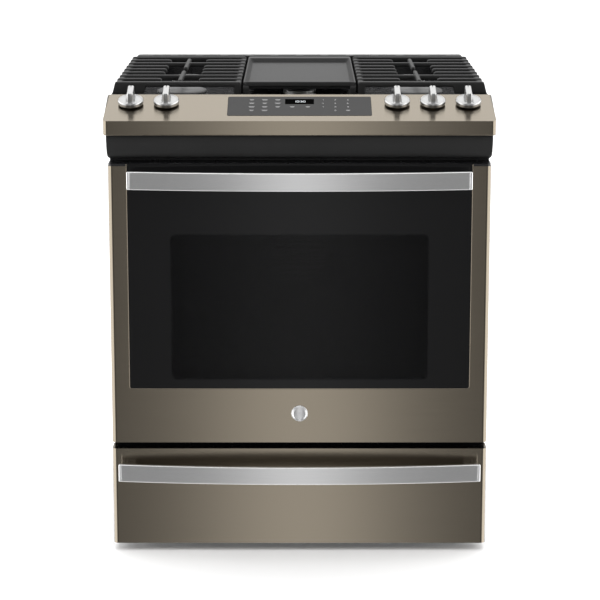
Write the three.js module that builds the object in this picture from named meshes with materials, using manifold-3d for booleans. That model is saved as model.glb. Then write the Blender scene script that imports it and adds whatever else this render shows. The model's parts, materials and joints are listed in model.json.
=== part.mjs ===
// Slide-in gas range with a front control panel, five burners, a drop-down oven door and a storage drawer.
// Millimetres, +Z up, -Y is the front. The origin is on the floor, under the middle of the overall box.
// Depths are counted from the flat front of the door: at(d) is the Y of a point d behind that face.
import * as THREE from "three";
import { mergeVertices } from "three/addons/utils/BufferGeometryUtils.js";
import Module from "manifold-3d";

const wasm = await Module();
wasm.setup();

// ---------------------------------------------------------------- driving dimensions
const bodyWidth = 759; // across the door and the drawer front
const bodyDepth = 670; // door face to the cooktop's rear edge
const cooktopHeight = 921; // floor to the cooktop's rim
const gap = 0.4; // clearance between pieces that touch
const sheet = 1.2; // outer sheet metal
const liner = 1.5; // enamelled sheet and door sheets
const channel = 2.5; // wall of the base frame's channels

// control panel
const panelOverhang = 8; // beyond the door on each side
const panelDepth = 116; // door face to the panel's rear edge
const panelSlope = THREE.MathUtils.degToRad(18);
const panelLip = 3.5; // rear edge above the cooktop's rim
const panelCorner = 9; // radius of its upright front edges
const panelNose = 6; // radius where the face turns into the slope
const fasciaHeight = 24.6;
const touchWidth = 286;
const touchLength = 86.5;
const touchThickness = 3;
const touchSet = 64; // distance of its middle behind the door face, measured level

// knobs and valves
const knobRadius = 25.5;
const knobHeight = 31;
const knobSkirt = 9;
const knobFloat = 3; // skirt above the panel
const knobPush = 2.5;
const knobGripWidth = 14;
const knobGripLength = 42;
const knobGripShift = 4; // the grip reaches further to its pointer end
const knobSet = 72; // axis behind the door face, measured level
const knobPitch = 71;
const knobInset = 42.5; // outermost knob from the door's edge line
const spindleRadius = 3;

// black panel between the control panel and the door
const manifoldPanelHeight = 48.5;
const ventGap = 7.5;

// door
const doorThickness = 42;
const doorCornerRadius = 10;
const doorStile = 36;
const doorRail = 111;
const doorCapHeight = 4.5;
const glassThickness = 4;
const windowMargin = 47; // between the window and the side of the oven
const windowHeight = 299;
const windowAboveRail = 20;
const pivotDepth = 20; // door pivot behind the door face
const pivotRise = 10; // door pivot above the door's lower edge
const plugDepth = 10; // inner panel stands into the oven mouth

// handles
const handleReach = 57; // front of the bar at its middle
const handleBow = 21; // the ends lie this much further back
const handleBar = 9;
const handleHeight = 36;
const doorHandleLength = 679;
const doorHandleDrop = 10; // bar's top below the door's top
const drawerHandleLength = 729;
const drawerHandleDrop = 23;
const handlePost = 22;

// drawer
const toeGap = 16; // drawer front above the floor
const drawerHeight = 201;
const drawerGap = 13; // between the drawer front and the door
const drawerFrontThickness = 40;
const drawerBoxHeight = 108;
const drawerBackSpace = 75; // between the drawer box and the back panel

// chassis
const sillHeight = 30;
const sillWidth = 31;
const sillBottom = 30;
const footRadius = 16;
const footHeight = 10;
const studRadius = 5;

// oven
const ovenWidth = 610;
const ovenBackSpace = 110; // from the cavity to the back panel: insulation, fan motor and gas pipe
const ovenFloorRise = 40; // cavity floor above the door's lower edge
const ovenCeilingDrop = 52; // cavity ceiling below the door's top
const insulation = 26;
const rackLevels = 6;
const rackPitch = 52;
const rackFirst = 75; // lowest ledge above the cavity floor
const rackPlaces = { lower_oven_rack: 3, upper_oven_rack: 5 };
const rackRod = 3.5;
const ledgeDepth = 10;
const ledgeHeight = 4;
const fanRadius = 62;
const broilTube = 8; // radius of the broil burner's tube
const bakeTube = 9;

// cooktop
const cooktopOverhang = 4.5;
const wellDepth = 26;
const rimWidth = 18;
const capThickness = 8;
const headHeight = 13;
const grateRise = 25; // grate tops above the rim
const grateInset = 13; // front of the grates behind the front of the well
const barCount = 9;
const barWidth = 11;
const barHeight = 11;
const frameBarWidth = 14;
const sideRailDrop = 4;
const fingerGap = 76;
const crossBarLength = 164;
const crossBarWidth = 9;
const griddleHalf = 114.5;
const grateGap = 4.5; // between the griddle and a grate
const grateOuterHalf = 376;
const griddleWell = 10;
const griddleDraft = 7;
const trimDepth = 34;
const trimInset = 8; // trim in front of the cooktop's rear edge

// ---------------------------------------------------------------- derived places
const overallDepth = bodyDepth + handleReach;
const at = (d) => d + handleReach - overallDepth / 2;
const half = bodyWidth / 2;
const panelHalf = half + panelOverhang;
const cooktopHalf = half + cooktopOverhang;
const panelRear = cooktopHeight + panelLip;
const noseRun = panelNose * (1 - Math.sin(panelSlope));
const slopeStart = panelRear - (panelDepth - noseRun) * Math.tan(panelSlope);
const noseCentre = slopeStart - panelNose * Math.cos(panelSlope);
const fasciaBottom = noseCentre - fasciaHeight;
const onSlope = (d) => slopeStart + (d - noseRun) * Math.tan(panelSlope);
const manifoldTop = fasciaBottom - gap;
const manifoldBottom = manifoldTop - manifoldPanelHeight;
const doorTop = manifoldBottom - ventGap;
const drawerTop = toeGap + drawerHeight;
const doorBottom = drawerTop + drawerGap;
const frameDepth = doorThickness + 4; // front of the chassis behind the door face
const cavityFront = frameDepth + sheet + gap;
const backPanelDepth = bodyDepth - 15;
const cavityBack = backPanelDepth - ovenBackSpace;
const ovenDepth = cavityBack - cavityFront;
const ovenHalf = ovenWidth / 2;
const ovenFloor = doorBottom + ovenFloorRise;
const ovenCeiling = doorTop - ovenCeilingDrop;
const chassisHalf = half - sheet;
const wellFloor = cooktopHeight - wellDepth;
const wellHalf = cooktopHalf - rimWidth;
const wellFront = panelDepth + 2 + rimWidth;
const grateTop = cooktopHeight + grateRise;
const trimBack = bodyDepth - trimInset;
const trimFront = trimBack - trimDepth;
const wellBack = trimFront - liner - 3;
const grateFront = wellFront + grateInset;
const grateBack = wellBack - 4;
const barPitch = (grateBack - grateFront - frameBarWidth - 2) / (barCount - 1);
const grateInnerHalf = griddleHalf + grateGap;
const grateMiddle = (grateInnerHalf + grateOuterHalf - 4) / 2;
const barDepth = (i) => grateFront + 1 + frameBarWidth / 2 + i * barPitch;
const frontBurner = barDepth(2);
const rearBurner = barDepth(6);
const sillTop = sillBottom + sillHeight;
const sillInner = chassisHalf - sheet - sillWidth;
const handleDip = handleReach - handleBow; // front of the bar at its ends
const knobOuter = half - knobInset;
const knobPlaces = {
  left_rear: -knobOuter,
  left_front: -knobOuter + knobPitch,
  center: knobOuter - 2 * knobPitch,
  right_front: knobOuter - knobPitch,
  right_rear: knobOuter,
};
const manifoldPipeDrop = 50; // manifold pipe below the panel, along the knob axis

// ---------------------------------------------------------------- materials
const finish = (color, roughness, metalness) =>
  new THREE.MeshStandardMaterial({ color, roughness, metalness });
const slate = finish(0x8a8174, 0.38, 0.6);
const brushedSteel = finish(0xcfcfcf, 0.3, 0.9);
const knobMetal = finish(0xdcdcdc, 0.28, 0.9);
const blackEnamel = finish(0x1c1c1d, 0.3, 0.1);
const blackPaint = finish(0x2c2d2d, 0.42, 0.1);
const blackGlass = finish(0x1b1b1b, 0.08, 0.0);
const clearGlass = finish(0x333638, 0.05, 0.0);
const touchGlass = finish(0x565455, 0.25, 0.0);
const castIron = finish(0x3a3a3a, 0.6, 0.2);
const burnerCapEnamel = finish(0x4a4a4a, 0.5, 0.1);
const aluminium = finish(0xb0b0ae, 0.45, 0.9);
const galvanised = finish(0x8f9294, 0.5, 0.8);
const chromeRod = finish(0xc8c9ca, 0.2, 1.0);
const glassWool = finish(0xd9cf9a, 0.95, 0.0);
const gasketWeave = finish(0x6d6b66, 0.9, 0.0);
const brass = finish(0xb59a5b, 0.35, 0.9);
const blackPlastic = finish(0x202020, 0.5, 0.0);

// ---------------------------------------------------------------- solids from three.js geometry
function toSolid(geometry) {
  const bare = geometry.index ? geometry.toNonIndexed() : geometry.clone();
  bare.deleteAttribute("normal");
  bare.deleteAttribute("uv");
  const merged = mergeVertices(bare, 1e-4);
  const corners = merged.index.array;
  const kept = [];
  for (let i = 0; i < corners.length; i += 3) {
    const [a, b, c] = [corners[i], corners[i + 1], corners[i + 2]];
    if (a !== b && b !== c && c !== a) kept.push(a, b, c);
  }
  const vertProperties = merged.attributes.position.array;
  return new wasm.Manifold(new wasm.Mesh({ numProp: 3, vertProperties, triVerts: new Uint32Array(kept) }));
}

function toGeometry(solid) {
  const data = solid.getMesh();
  const position = new Float32Array(data.numVert * 3);
  for (let i = 0; i < data.numVert; i++) {
    position.set(data.vertProperties.subarray(i * data.numProp, i * data.numProp + 3), i * 3);
  }
  const geometry = new THREE.BufferGeometry();
  geometry.setAttribute("position", new THREE.BufferAttribute(position, 3));
  geometry.setIndex(new THREE.BufferAttribute(data.triVerts, 1));
  geometry.computeVertexNormals();
  return geometry;
}

// A box between two corners; the Y values are depths behind the door face.
function box([x0, x1], [d0, d1], [z0, z1]) {
  const geometry = new THREE.BoxGeometry(x1 - x0, d1 - d0, z1 - z0);
  return toSolid(geometry.translate((x0 + x1) / 2, at((d0 + d1) / 2), (z0 + z1) / 2));
}

const both = (halfWidth) => [-halfWidth, halfWidth];

const axes = {
  x: [new THREE.Vector3(0, 1, 0), new THREE.Vector3(0, 0, 1), new THREE.Vector3(1, 0, 0)],
  y: [new THREE.Vector3(1, 0, 0), new THREE.Vector3(0, 0, 1), new THREE.Vector3(0, -1, 0)],
};

// Profile of (depth, height) drawn out along X.
function prismX(shape, [x0, x1], curveSegments = 6) {
  const geometry = new THREE.ExtrudeGeometry(shape, { depth: x1 - x0, bevelEnabled: false, curveSegments });
  geometry.applyMatrix4(new THREE.Matrix4().makeBasis(...axes.x));
  return toSolid(geometry.translate(x0, at(0), 0));
}

// Profile of (x, height) drawn out along Y, between two depths.
function prismY(shape, [d0, d1], curveSegments = 6) {
  const geometry = new THREE.ExtrudeGeometry(shape, { depth: d1 - d0, bevelEnabled: false, curveSegments });
  geometry.applyMatrix4(new THREE.Matrix4().makeBasis(...axes.y));
  return toSolid(geometry.translate(0, at(d1), 0));
}

// Profile of (x, depth) drawn out along Z.
function prismZ(shape, [z0, z1], curveSegments = 6) {
  const geometry = new THREE.ExtrudeGeometry(shape, { depth: z1 - z0, bevelEnabled: false, curveSegments });
  return toSolid(geometry.translate(0, at(0), z0));
}

function polygon(points) {
  return new THREE.Shape(points.map(([u, v]) => new THREE.Vector2(u, v)));
}

function roundedRectangle([u0, u1], [v0, v1], radius) {
  const shape = new THREE.Shape();
  shape.absarc(u1 - radius, v1 - radius, radius, 0, Math.PI / 2);
  shape.absarc(u0 + radius, v1 - radius, radius, Math.PI / 2, Math.PI);
  shape.absarc(u0 + radius, v0 + radius, radius, Math.PI, 1.5 * Math.PI);
  shape.absarc(u1 - radius, v0 + radius, radius, 1.5 * Math.PI, 2 * Math.PI);
  return shape;
}

// A turned piece about Z; the closed profile holds [radius, height] pairs.
function turned(profile, segments = 20) {
  const points = [...profile, profile[0]].map(([r, h]) => new THREE.Vector2(r, h));
  if (THREE.ShapeUtils.area(points.slice(0, -1)) < 0) points.reverse();
  const geometry = new THREE.LatheGeometry(points, segments);
  return toSolid(geometry.rotateX(Math.PI / 2));
}

const cylinder = (radius, z0, z1, segments = 16) =>
  turned([[0, z0], [radius, z0], [radius, z1], [0, z1]], segments);

// A rod with n sides through the points, each [x, depth, z]; corners are eased by the curve's tension.
function rod(points, radius, sides = 8) {
  const at3 = points.map(([x, d, z]) => new THREE.Vector3(x, at(d), z));
  const curve = at3.length === 2
    ? new THREE.LineCurve3(at3[0], at3[1])
    : new THREE.CatmullRomCurve3(at3, false, "catmullrom", 0.25);
  const section = new THREE.Shape();
  section.absarc(0, 0, radius, 0, 2 * Math.PI);
  const geometry = new THREE.ExtrudeGeometry(section, {
    steps: at3.length === 2 ? 1 : at3.length * 4,
    curveSegments: sides / 2,
    extrudePath: curve,
  });
  return toSolid(geometry);
}

const moved = (solid, x, d, z) => solid.translate([x, at(d), z]);
const joined = (solids) => solids.reduce((sum, s) => sum.add(s));

const range = new THREE.Group();
range.name = "gas_range";

function place(name, solid, material, parent = range) {
  const mesh = new THREE.Mesh(toGeometry(solid), material);
  mesh.name = name;
  parent.add(mesh);
  return mesh;
}

// ---------------------------------------------------------------- chassis
const sidePanelTop = cooktopHeight - liner - 3;

function sidePanel(side) {
  const outline = polygon([
    [frameDepth, sillBottom],
    [backPanelDepth + 5, sillBottom],
    [backPanelDepth + 5, sidePanelTop],
    [panelDepth + 6, sidePanelTop],
    [panelDepth + 6, fasciaBottom - 2],
    [frameDepth, fasciaBottom - 2],
  ]);
  const outer = side * chassisHalf;
  const inner = side * (chassisHalf - sheet);
  const span = (a, b) => [Math.min(a, b), Math.max(a, b)];
  const wall = prismX(outline, span(outer, inner));
  const topFlange = box(
    span(outer, side * (wellHalf + liner + 1.5)),
    [panelDepth + 6, backPanelDepth + 5],
    [sidePanelTop - sheet, sidePanelTop],
  );
  const rearFlange = box(
    span(outer, side * (chassisHalf - 16)),
    [backPanelDepth + gap + sheet, backPanelDepth + 5],
    [sillBottom, sidePanelTop],
  );
  return joined([wall, topFlange, rearFlange]);
}

const gasInlet = { x: 255, z: 105 };
const cordInlet = { x: -250, z: 120, radius: 11 };

function backPanel() {
  const width = chassisHalf - sheet - gap;
  let panel = box(both(width), [backPanelDepth - sheet, backPanelDepth], [sillTop + gap, wellFloor - 6]);
  const louvres = 5;
  const louvreRise = (ovenCeiling - ovenFloor) / (louvres + 3);
  for (let row = 0; row < louvres; row++) {
    const z = ovenFloor + louvreRise * (row + 2.5);
    for (const x of [-width * 0.6, width * 0.6]) {
      panel = panel.subtract(box([x - 60, x + 60], [backPanelDepth - 5, backPanelDepth + 5], [z, z + 8]));
    }
  }
  const holes = [{ ...gasInlet, radius: 16 }, { ...cordInlet, radius: cordInlet.radius + gap }];
  for (const { x, z, radius } of holes) {
    const hole = cylinder(radius, -10, 10).rotate([90, 0, 0]);
    panel = panel.subtract(moved(hole, x, backPanelDepth, z));
  }
  return panel;
}

function frontFrame() {
  const shape = polygon([
    [-chassisHalf + sheet + gap, sillBottom],
    [chassisHalf - sheet - gap, sillBottom],
    [chassisHalf - sheet - gap, manifoldBottom - 3],
    [-chassisHalf + sheet + gap, manifoldBottom - 3],
  ]);
  const frame = prismY(shape, [frameDepth, frameDepth + sheet]);
  const through = [frameDepth - 5, frameDepth + 5];
  const mouth = box(both(ovenHalf), through, [ovenFloor, ovenCeiling]);
  const drawerWay = box(both(sillInner + 8), through, [sillBottom - 5, sillBottom + 24 + drawerBoxHeight]);
  const hingeSlots = [-1, 1].map((side) => {
    const x = side * hingeX;
    return box([x - 6, x + 6], through, [pivotZ - 10, pivotZ + 10]);
  });
  return frame.subtract(mouth).subtract(drawerWay).subtract(joined(hingeSlots));
}

const legPlaces = {
  front_left_leg: [-1, frameDepth + 50],
  front_right_leg: [1, frameDepth + 50],
  rear_left_leg: [-1, backPanelDepth - 55],
  rear_right_leg: [1, backPanelDepth - 55],
};
const legX = chassisHalf - sheet - sillWidth / 2;

// A channel that is open underneath.
function channelBar([x0, x1], [d0, d1], [z0, z1]) {
  const hollow = box([x0 + channel, x1 - channel], [d0 + channel, d1 - channel], [z0 - 5, z1 - channel]);
  return box([x0, x1], [d0, d1], [z0, z1]).subtract(hollow);
}

function baseFrame() {
  const sillSpan = [frameDepth + sheet + gap, backPanelDepth - sheet - gap];
  const outer = chassisHalf - sheet - gap;
  const left = channelBar([-outer, -sillInner], sillSpan, [sillBottom, sillTop]);
  const right = channelBar([sillInner, outer], sillSpan, [sillBottom, sillTop]);
  const across = both(sillInner + 1);
  const rear = channelBar(across, [sillSpan[1] - 20, sillSpan[1]], [sillBottom, sillTop]);
  const front = box(across, [sillSpan[0], sillSpan[0] + 30], [sillBottom, sillBottom + 3]);
  let frame = joined([left, right, rear, front]);
  for (const [side, depth] of Object.values(legPlaces)) {
    const socket = cylinder(studRadius + gap, sillBottom - 5, sillTop + 5, 16);
    frame = frame.subtract(moved(socket, side * legX, depth, 0));
  }
  return frame;
}

function leg() {
  return turned(
    [[0, 0], [footRadius, 0], [footRadius, footHeight - 3], [studRadius + 4, footHeight],
      [studRadius, footHeight], [studRadius, sillTop - 2], [0, sillTop - 2]],
    14,
  );
}

// ---------------------------------------------------------------- oven
const rackHeight = (level) => ovenFloor + rackFirst + level * rackPitch;
const fanCentre = (ovenFloor + ovenCeiling) / 2;
const fanFront = cavityBack - 24;
const motorFront = cavityBack + liner + insulation + 4;

function ovenLiner() {
  const outer = box(
    both(ovenHalf + liner),
    [cavityFront, cavityBack + liner],
    [ovenFloor - liner, ovenCeiling + liner],
  );
  const flange = box(
    both(ovenHalf + 14),
    [cavityFront, cavityFront + liner],
    [ovenFloor - 14, ovenCeiling + 14],
  );
  const cavity = box(both(ovenHalf), [cavityFront - 5, cavityBack], [ovenFloor, ovenCeiling]);
  const ledges = [];
  for (let level = 0; level < rackLevels; level++) {
    const z = [rackHeight(level) - ledgeHeight, rackHeight(level)];
    const run = [cavityFront + 20, cavityBack - 20];
    ledges.push(box([-ovenHalf - 1, -ovenHalf + ledgeDepth], run, z));
    ledges.push(box([ovenHalf - ledgeDepth, ovenHalf + 1], run, z));
  }
  const shaftHole = moved(cylinder(8, -20, 20).rotate([90, 0, 0]), 0, cavityBack, fanCentre);
  const broilHole = moved(cylinder(10, -20, 20).rotate([90, 0, 0]), 0, cavityBack, broilHeight);
  return joined([outer, flange]).subtract(cavity).add(joined(ledges)).subtract(shaftHole).subtract(broilHole);
}

function insulationWrap() {
  const inside = gap + liner;
  const outer = box(
    both(ovenHalf + inside + insulation),
    [cavityFront + liner + gap, cavityBack + inside + insulation],
    [ovenFloor, ovenCeiling + inside + insulation],
  );
  const inner = box(
    both(ovenHalf + inside),
    [cavityFront - 5, cavityBack + inside],
    [ovenFloor - 5, ovenCeiling + inside],
  );
  const mouthFlange = box(
    both(ovenHalf + 15),
    [cavityFront - 5, cavityFront + liner + gap],
    [ovenFloor - 5, ovenCeiling + 15],
  );
  const shaftHole = moved(cylinder(12, -60, 60).rotate([90, 0, 0]), 0, cavityBack, fanCentre);
  const broilHole = moved(cylinder(14, -60, 60).rotate([90, 0, 0]), 0, cavityBack, broilHeight);
  return outer.subtract(inner).subtract(mouthFlange).subtract(shaftHole).subtract(broilHole);
}

function ovenRack(level) {
  const z = rackHeight(level) + gap + rackRod;
  const side = ovenHalf - 7;
  const front = cavityFront + 20;
  const back = fanFront - 26;
  const rods = [
    rod([[-side, front, z], [-side, back, z]], rackRod, 6),
    rod([[side, front, z], [side, back, z]], rackRod, 6),
    rod([[-side - rackRod, front, z], [side + rackRod, front, z]], rackRod, 6),
    rod([[-side - rackRod, back, z], [side + rackRod, back, z]], rackRod, 6),
  ];
  const bars = 13;
  for (let i = 1; i < bars; i++) {
    const x = -side + (2 * side * i) / bars;
    rods.push(box([x - 1.8, x + 1.8], [front, back], [z - 1, z + 2.6]));
  }
  const middle = (front + back) / 2;
  rods.push(box([-side, side], [middle - 2, middle + 2], [z - 3, z]));
  return joined(rods);
}

const broilHeight = ovenCeiling - 14;

function broilBurner() {
  const reach = ovenHalf * 0.62;
  const front = cavityFront + ovenDepth * 0.25;
  const back = cavityFront + ovenDepth * 0.72;
  const tube = (from, to) => rod([[...from, broilHeight], [...to, broilHeight]], broilTube);
  const loop = [-1, 1].map((s) => tube([s * reach, front], [s * reach, back]));
  const ends = [front, back].map((d) => tube([-reach - broilTube, d], [reach + broilTube, d]));
  const feed = tube([0, back], [0, cavityBack + 45]);
  return joined([...loop, ...ends, feed]);
}

function bakeBurner() {
  const z = ovenFloor - liner - 22;
  const front = cavityFront + 45;
  const back = cavityBack - 40;
  const spread = ovenHalf * 0.42;
  const tube = (from, to) => rod([[...from, z], [...to, z]], bakeTube);
  const arms = [-1, 1].map((s) => tube([s * spread, front], [s * spread, back]));
  const ends = [front, back].map((d) => tube([-spread - bakeTube, d], [spread + bakeTube, d]));
  const feed = tube([0, back], [0, cavityBack + 45]);
  return joined([...arms, ...ends, feed]);
}

function fanCover() {
  const reach = fanRadius + 24;
  const depths = [cavityBack - 36, cavityBack - gap];
  let cover = box(both(reach), depths, [fanCentre - reach, fanCentre + reach]);
  const inside = reach - liner;
  cover = cover.subtract(
    box(both(inside), [depths[0] + liner, depths[1] + 5], [fanCentre - inside, fanCentre + inside]),
  );
  const slots = 9;
  for (let i = 0; i < slots; i++) {
    const z = fanCentre + (i - (slots - 1) / 2) * 13;
    const width = Math.sqrt(Math.max(fanRadius ** 2 - (z - fanCentre) ** 2, 100));
    cover = cover.subtract(box(both(width), [depths[0] - 5, depths[0] + 5], [z - 3, z + 3]));
  }
  return cover;
}

function convectionFan() {
  const hub = cylinder(14, 0, 16, 16);
  const shaft = cylinder(4, -(motorFront - fanFront) - 6, 8, 12);
  const plate = cylinder(fanRadius, 0, 1.5, 20);
  const blades = [];
  const count = 8;
  for (let i = 0; i < count; i++) {
    const blade = toSolid(new THREE.BoxGeometry(fanRadius - 18, 1.5, 16));
    blades.push(blade.translate([(fanRadius + 14) / 2, 0, 8]).rotate([0, 0, (360 * i) / count]));
  }
  const fan = joined([hub, shaft, plate, ...blades]);
  return moved(fan.rotate([90, 0, 0]), 0, fanFront + 8, fanCentre);
}

function fanMotor() {
  const body = cylinder(34, 0, 42, 20);
  const nose = cylinder(12, 40, 52, 16);
  const bore = cylinder(4 + gap, 34, 60, 12);
  const motor = body.add(nose).subtract(bore).rotate([90, 0, 0]);
  return moved(motor, 0, motorFront + 50, fanCentre);
}

function doorGasket() {
  const reach = 12;
  const width = 9;
  const outer = roundedRectangle(
    both(ovenHalf + reach + width),
    [ovenFloor - reach - width, ovenCeiling + reach + width],
    18,
  );
  outer.holes.push(roundedRectangle(both(ovenHalf + reach), [ovenFloor - reach, ovenCeiling + reach], 10));
  return prismY(outer, [doorThickness + gap, frameDepth - gap], 3);
}

// ---------------------------------------------------------------- door
const pivotZ = doorBottom + pivotRise;
const hingeX = half - 22;
const doorSideReturn = doorThickness - 6;

// Plan of a sheet folded back at both sides over round corners.
function foldedPlan(halfWidth, depth, radius, wall) {
  const shape = new THREE.Shape();
  shape.moveTo(halfWidth, depth);
  shape.lineTo(halfWidth, radius);
  shape.absarc(halfWidth - radius, radius, radius, 0, -Math.PI / 2, true);
  shape.lineTo(-halfWidth + radius, 0);
  shape.absarc(-halfWidth + radius, radius, radius, -Math.PI / 2, -Math.PI, true);
  shape.lineTo(-halfWidth, depth);
  shape.lineTo(-halfWidth + wall, depth);
  shape.lineTo(-halfWidth + wall, radius);
  shape.absarc(-halfWidth + radius, radius, radius - wall, Math.PI, 1.5 * Math.PI, false);
  shape.lineTo(halfWidth - radius, wall);
  shape.absarc(halfWidth - radius, radius, radius - wall, 1.5 * Math.PI, 2 * Math.PI, false);
  shape.lineTo(halfWidth - wall, depth);
  return shape;
}

// The full plan that the folded sheet encloses.
function fullPlan(halfWidth, depth, radius) {
  const shape = new THREE.Shape();
  shape.moveTo(halfWidth, depth);
  shape.lineTo(halfWidth, radius);
  shape.absarc(halfWidth - radius, radius, radius, 0, -Math.PI / 2, true);
  shape.lineTo(-halfWidth + radius, 0);
  shape.absarc(-halfWidth + radius, radius, radius, -Math.PI / 2, -Math.PI, true);
  shape.lineTo(-halfWidth, depth);
  return shape;
}

const glassHalf = half - doorStile;
const glassBottom = doorBottom + doorRail;
const skinTop = doorTop - doorCapHeight;
const hingeNotch = (depths, heights) =>
  joined([-1, 1].map((s) => box([s * hingeX - 7, s * hingeX + 7], depths, heights)));

function doorSkin() {
  const wrap = prismZ(foldedPlan(half, doorSideReturn, doorCornerRadius, liner), [doorBottom, skinTop]);
  const floor = prismZ(
    fullPlan(half, doorSideReturn, doorCornerRadius),
    [doorBottom, doorBottom + liner],
  );
  const opening = prismY(
    roundedRectangle(both(glassHalf), [glassBottom, skinTop + 40], 6),
    [-5, doorCornerRadius - 2],
    4,
  );
  return joined([wrap, floor])
    .subtract(opening)
    .subtract(hingeNotch([pivotDepth - 9, doorThickness + 5], [doorBottom - 5, doorBottom + 6]));
}

function doorGlass() {
  const pane = roundedRectangle(both(glassHalf - gap), [glassBottom + gap, doorTop - 0.5], 6);
  return prismY(pane, [0.8, 0.8 + glassThickness], 4);
}

const windowBottom = glassBottom + windowAboveRail;
const windowTop = windowBottom + windowHeight;
const windowHalf = ovenHalf - windowMargin;
const plugHalf = ovenHalf - 18;
const plugBottom = ovenFloor + 20;
const plugTop = ovenCeiling - 20;

// Inner door panel: a pan with a cap across the door's top and a plug that stands into the oven mouth.
function doorLiner() {
  const wallHalf = half - liner - gap - 3;
  const low = doorBottom + liner + gap;
  const back = box(both(wallHalf), [doorThickness - liner, doorThickness], [low, doorTop]);
  const walls = joined([[-wallHalf, liner - wallHalf], [wallHalf - liner, wallHalf]].map((span) =>
    box(span, [14, doorThickness], [low, doorTop])));
  const cap = prismZ(
    fullPlan(half - 1, doorThickness, doorCornerRadius - 1),
    [skinTop + gap, doorTop],
  );
  const glassSlot = box(both(glassHalf), [-5, 0.8 + glassThickness + gap], [skinTop - 5, doorTop + 5]);
  const plugBack = doorThickness + plugDepth;
  const plug = box(both(plugHalf), [doorThickness - liner, plugBack], [plugBottom, plugTop]);
  const plugHollow = box(
    both(plugHalf - liner),
    [doorThickness - liner - 5, doorThickness + plugDepth - liner],
    [plugBottom + liner, plugTop - liner],
  );
  const sight = box(both(windowHalf - 8), [0, plugBack + 5], [windowBottom + 4, windowTop - 4]);
  return joined([back, walls, cap.subtract(glassSlot), plug])
    .subtract(plugHollow)
    .subtract(sight)
    .subtract(hingeNotch([pivotDepth - 9, doorThickness + 5], [doorBottom - 5, pivotZ + 9]));
}

function doorInnerGlass() {
  const back = doorThickness + plugDepth - liner - gap;
  return box(both(windowHalf + 8), [back - glassThickness, back], [windowBottom - 8, windowTop + 8]);
}

// Bowed bar on two posts; its middle stands furthest out.
function bowedHandle(length, bottom) {
  const end = length / 2;
  const radius = (end ** 2 + handleBow ** 2) / (2 * handleBow);
  const swing = Math.asin(end / radius);
  const centre = radius - handleReach;
  const plan = new THREE.Shape();
  plan.absarc(0, centre, radius, -Math.PI / 2 - swing, -Math.PI / 2 + swing, false);
  plan.absarc(0, centre, radius - handleBar, -Math.PI / 2 + swing, -Math.PI / 2 - swing, true);
  const bar = prismZ(plan, [bottom, bottom + handleHeight], 14);
  const posts = joined([-1, 1].map((s) => {
    const x = s * (end - handlePost);
    const margin = 11;
    return box(
      [x - handlePost / 2, x + handlePost / 2],
      [-handleDip + handleBar / 2 - 1, -gap],
      [bottom + margin, bottom + handleHeight - margin],
    );
  }));
  return bar.add(posts);
}

// Arm fixed to the chassis; its pin is what the door swings on.
function doorHinge(side) {
  const x = side * hingeX;
  const arm = box([x - 3, x + 3], [pivotDepth, frameDepth + 60], [pivotZ - 6, pivotZ + 6]);
  const pin = moved(cylinder(5, -9, 9, 16).rotate([0, 90, 0]), x, pivotDepth, pivotZ);
  const seat = box([x - 10, x + 10], [frameDepth + sheet + gap, frameDepth + 55], [pivotZ - 8, pivotZ + 8]);
  return joined([arm, pin, seat]);
}

// ---------------------------------------------------------------- drawer
function drawerFront() {
  const wrap = prismZ(
    foldedPlan(half, drawerFrontThickness, doorCornerRadius, liner),
    [toeGap, drawerTop],
  );
  const plan = fullPlan(half, drawerFrontThickness, doorCornerRadius);
  const bottom = prismZ(plan, [toeGap, toeGap + liner]);
  const top = prismZ(plan, [drawerTop - liner, drawerTop]);
  return joined([wrap, bottom, top]);
}

function drawerBox() {
  const reach = sillInner - 10;
  const bottom = sillBottom + 12;
  const depths = [drawerFrontThickness + gap, backPanelDepth - drawerBackSpace];
  const outer = box(both(reach), depths, [bottom, bottom + drawerBoxHeight]);
  const inner = box(
    both(reach - sheet),
    [depths[0] + sheet, depths[1] - sheet],
    [bottom + sheet, bottom + drawerBoxHeight + 5],
  );
  const runners = joined([-1, 1].map((s) => {
    const xs = s > 0 ? [reach - 1, sillInner + 5] : [-sillInner - 5, -reach + 1];
    return box(xs, [frameDepth + 20, depths[1]], [sillTop + gap, sillTop + gap + 4]);
  }));
  return outer.subtract(inner).add(runners.subtract(inner));
}

// ---------------------------------------------------------------- control panel
function panelProfile(inset) {
  const shape = new THREE.Shape();
  const radius = panelNose - inset;
  shape.moveTo(inset, fasciaBottom + inset);
  shape.lineTo(inset, noseCentre);
  shape.absarc(panelNose, noseCentre, radius, Math.PI, Math.PI / 2 + panelSlope, true);
  const rear = panelDepth - inset;
  shape.lineTo(rear, onSlope(rear) - inset / Math.cos(panelSlope));
  shape.lineTo(rear, fasciaBottom + inset);
  return shape;
}

// Moves a piece made about the knob axis, with the panel's surface as its zero, onto the panel.
const onPanel = (solid, x, depth) =>
  solid.rotate([THREE.MathUtils.radToDeg(panelSlope), 0, 0]).translate([x, at(depth), onSlope(depth)]);

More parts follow.
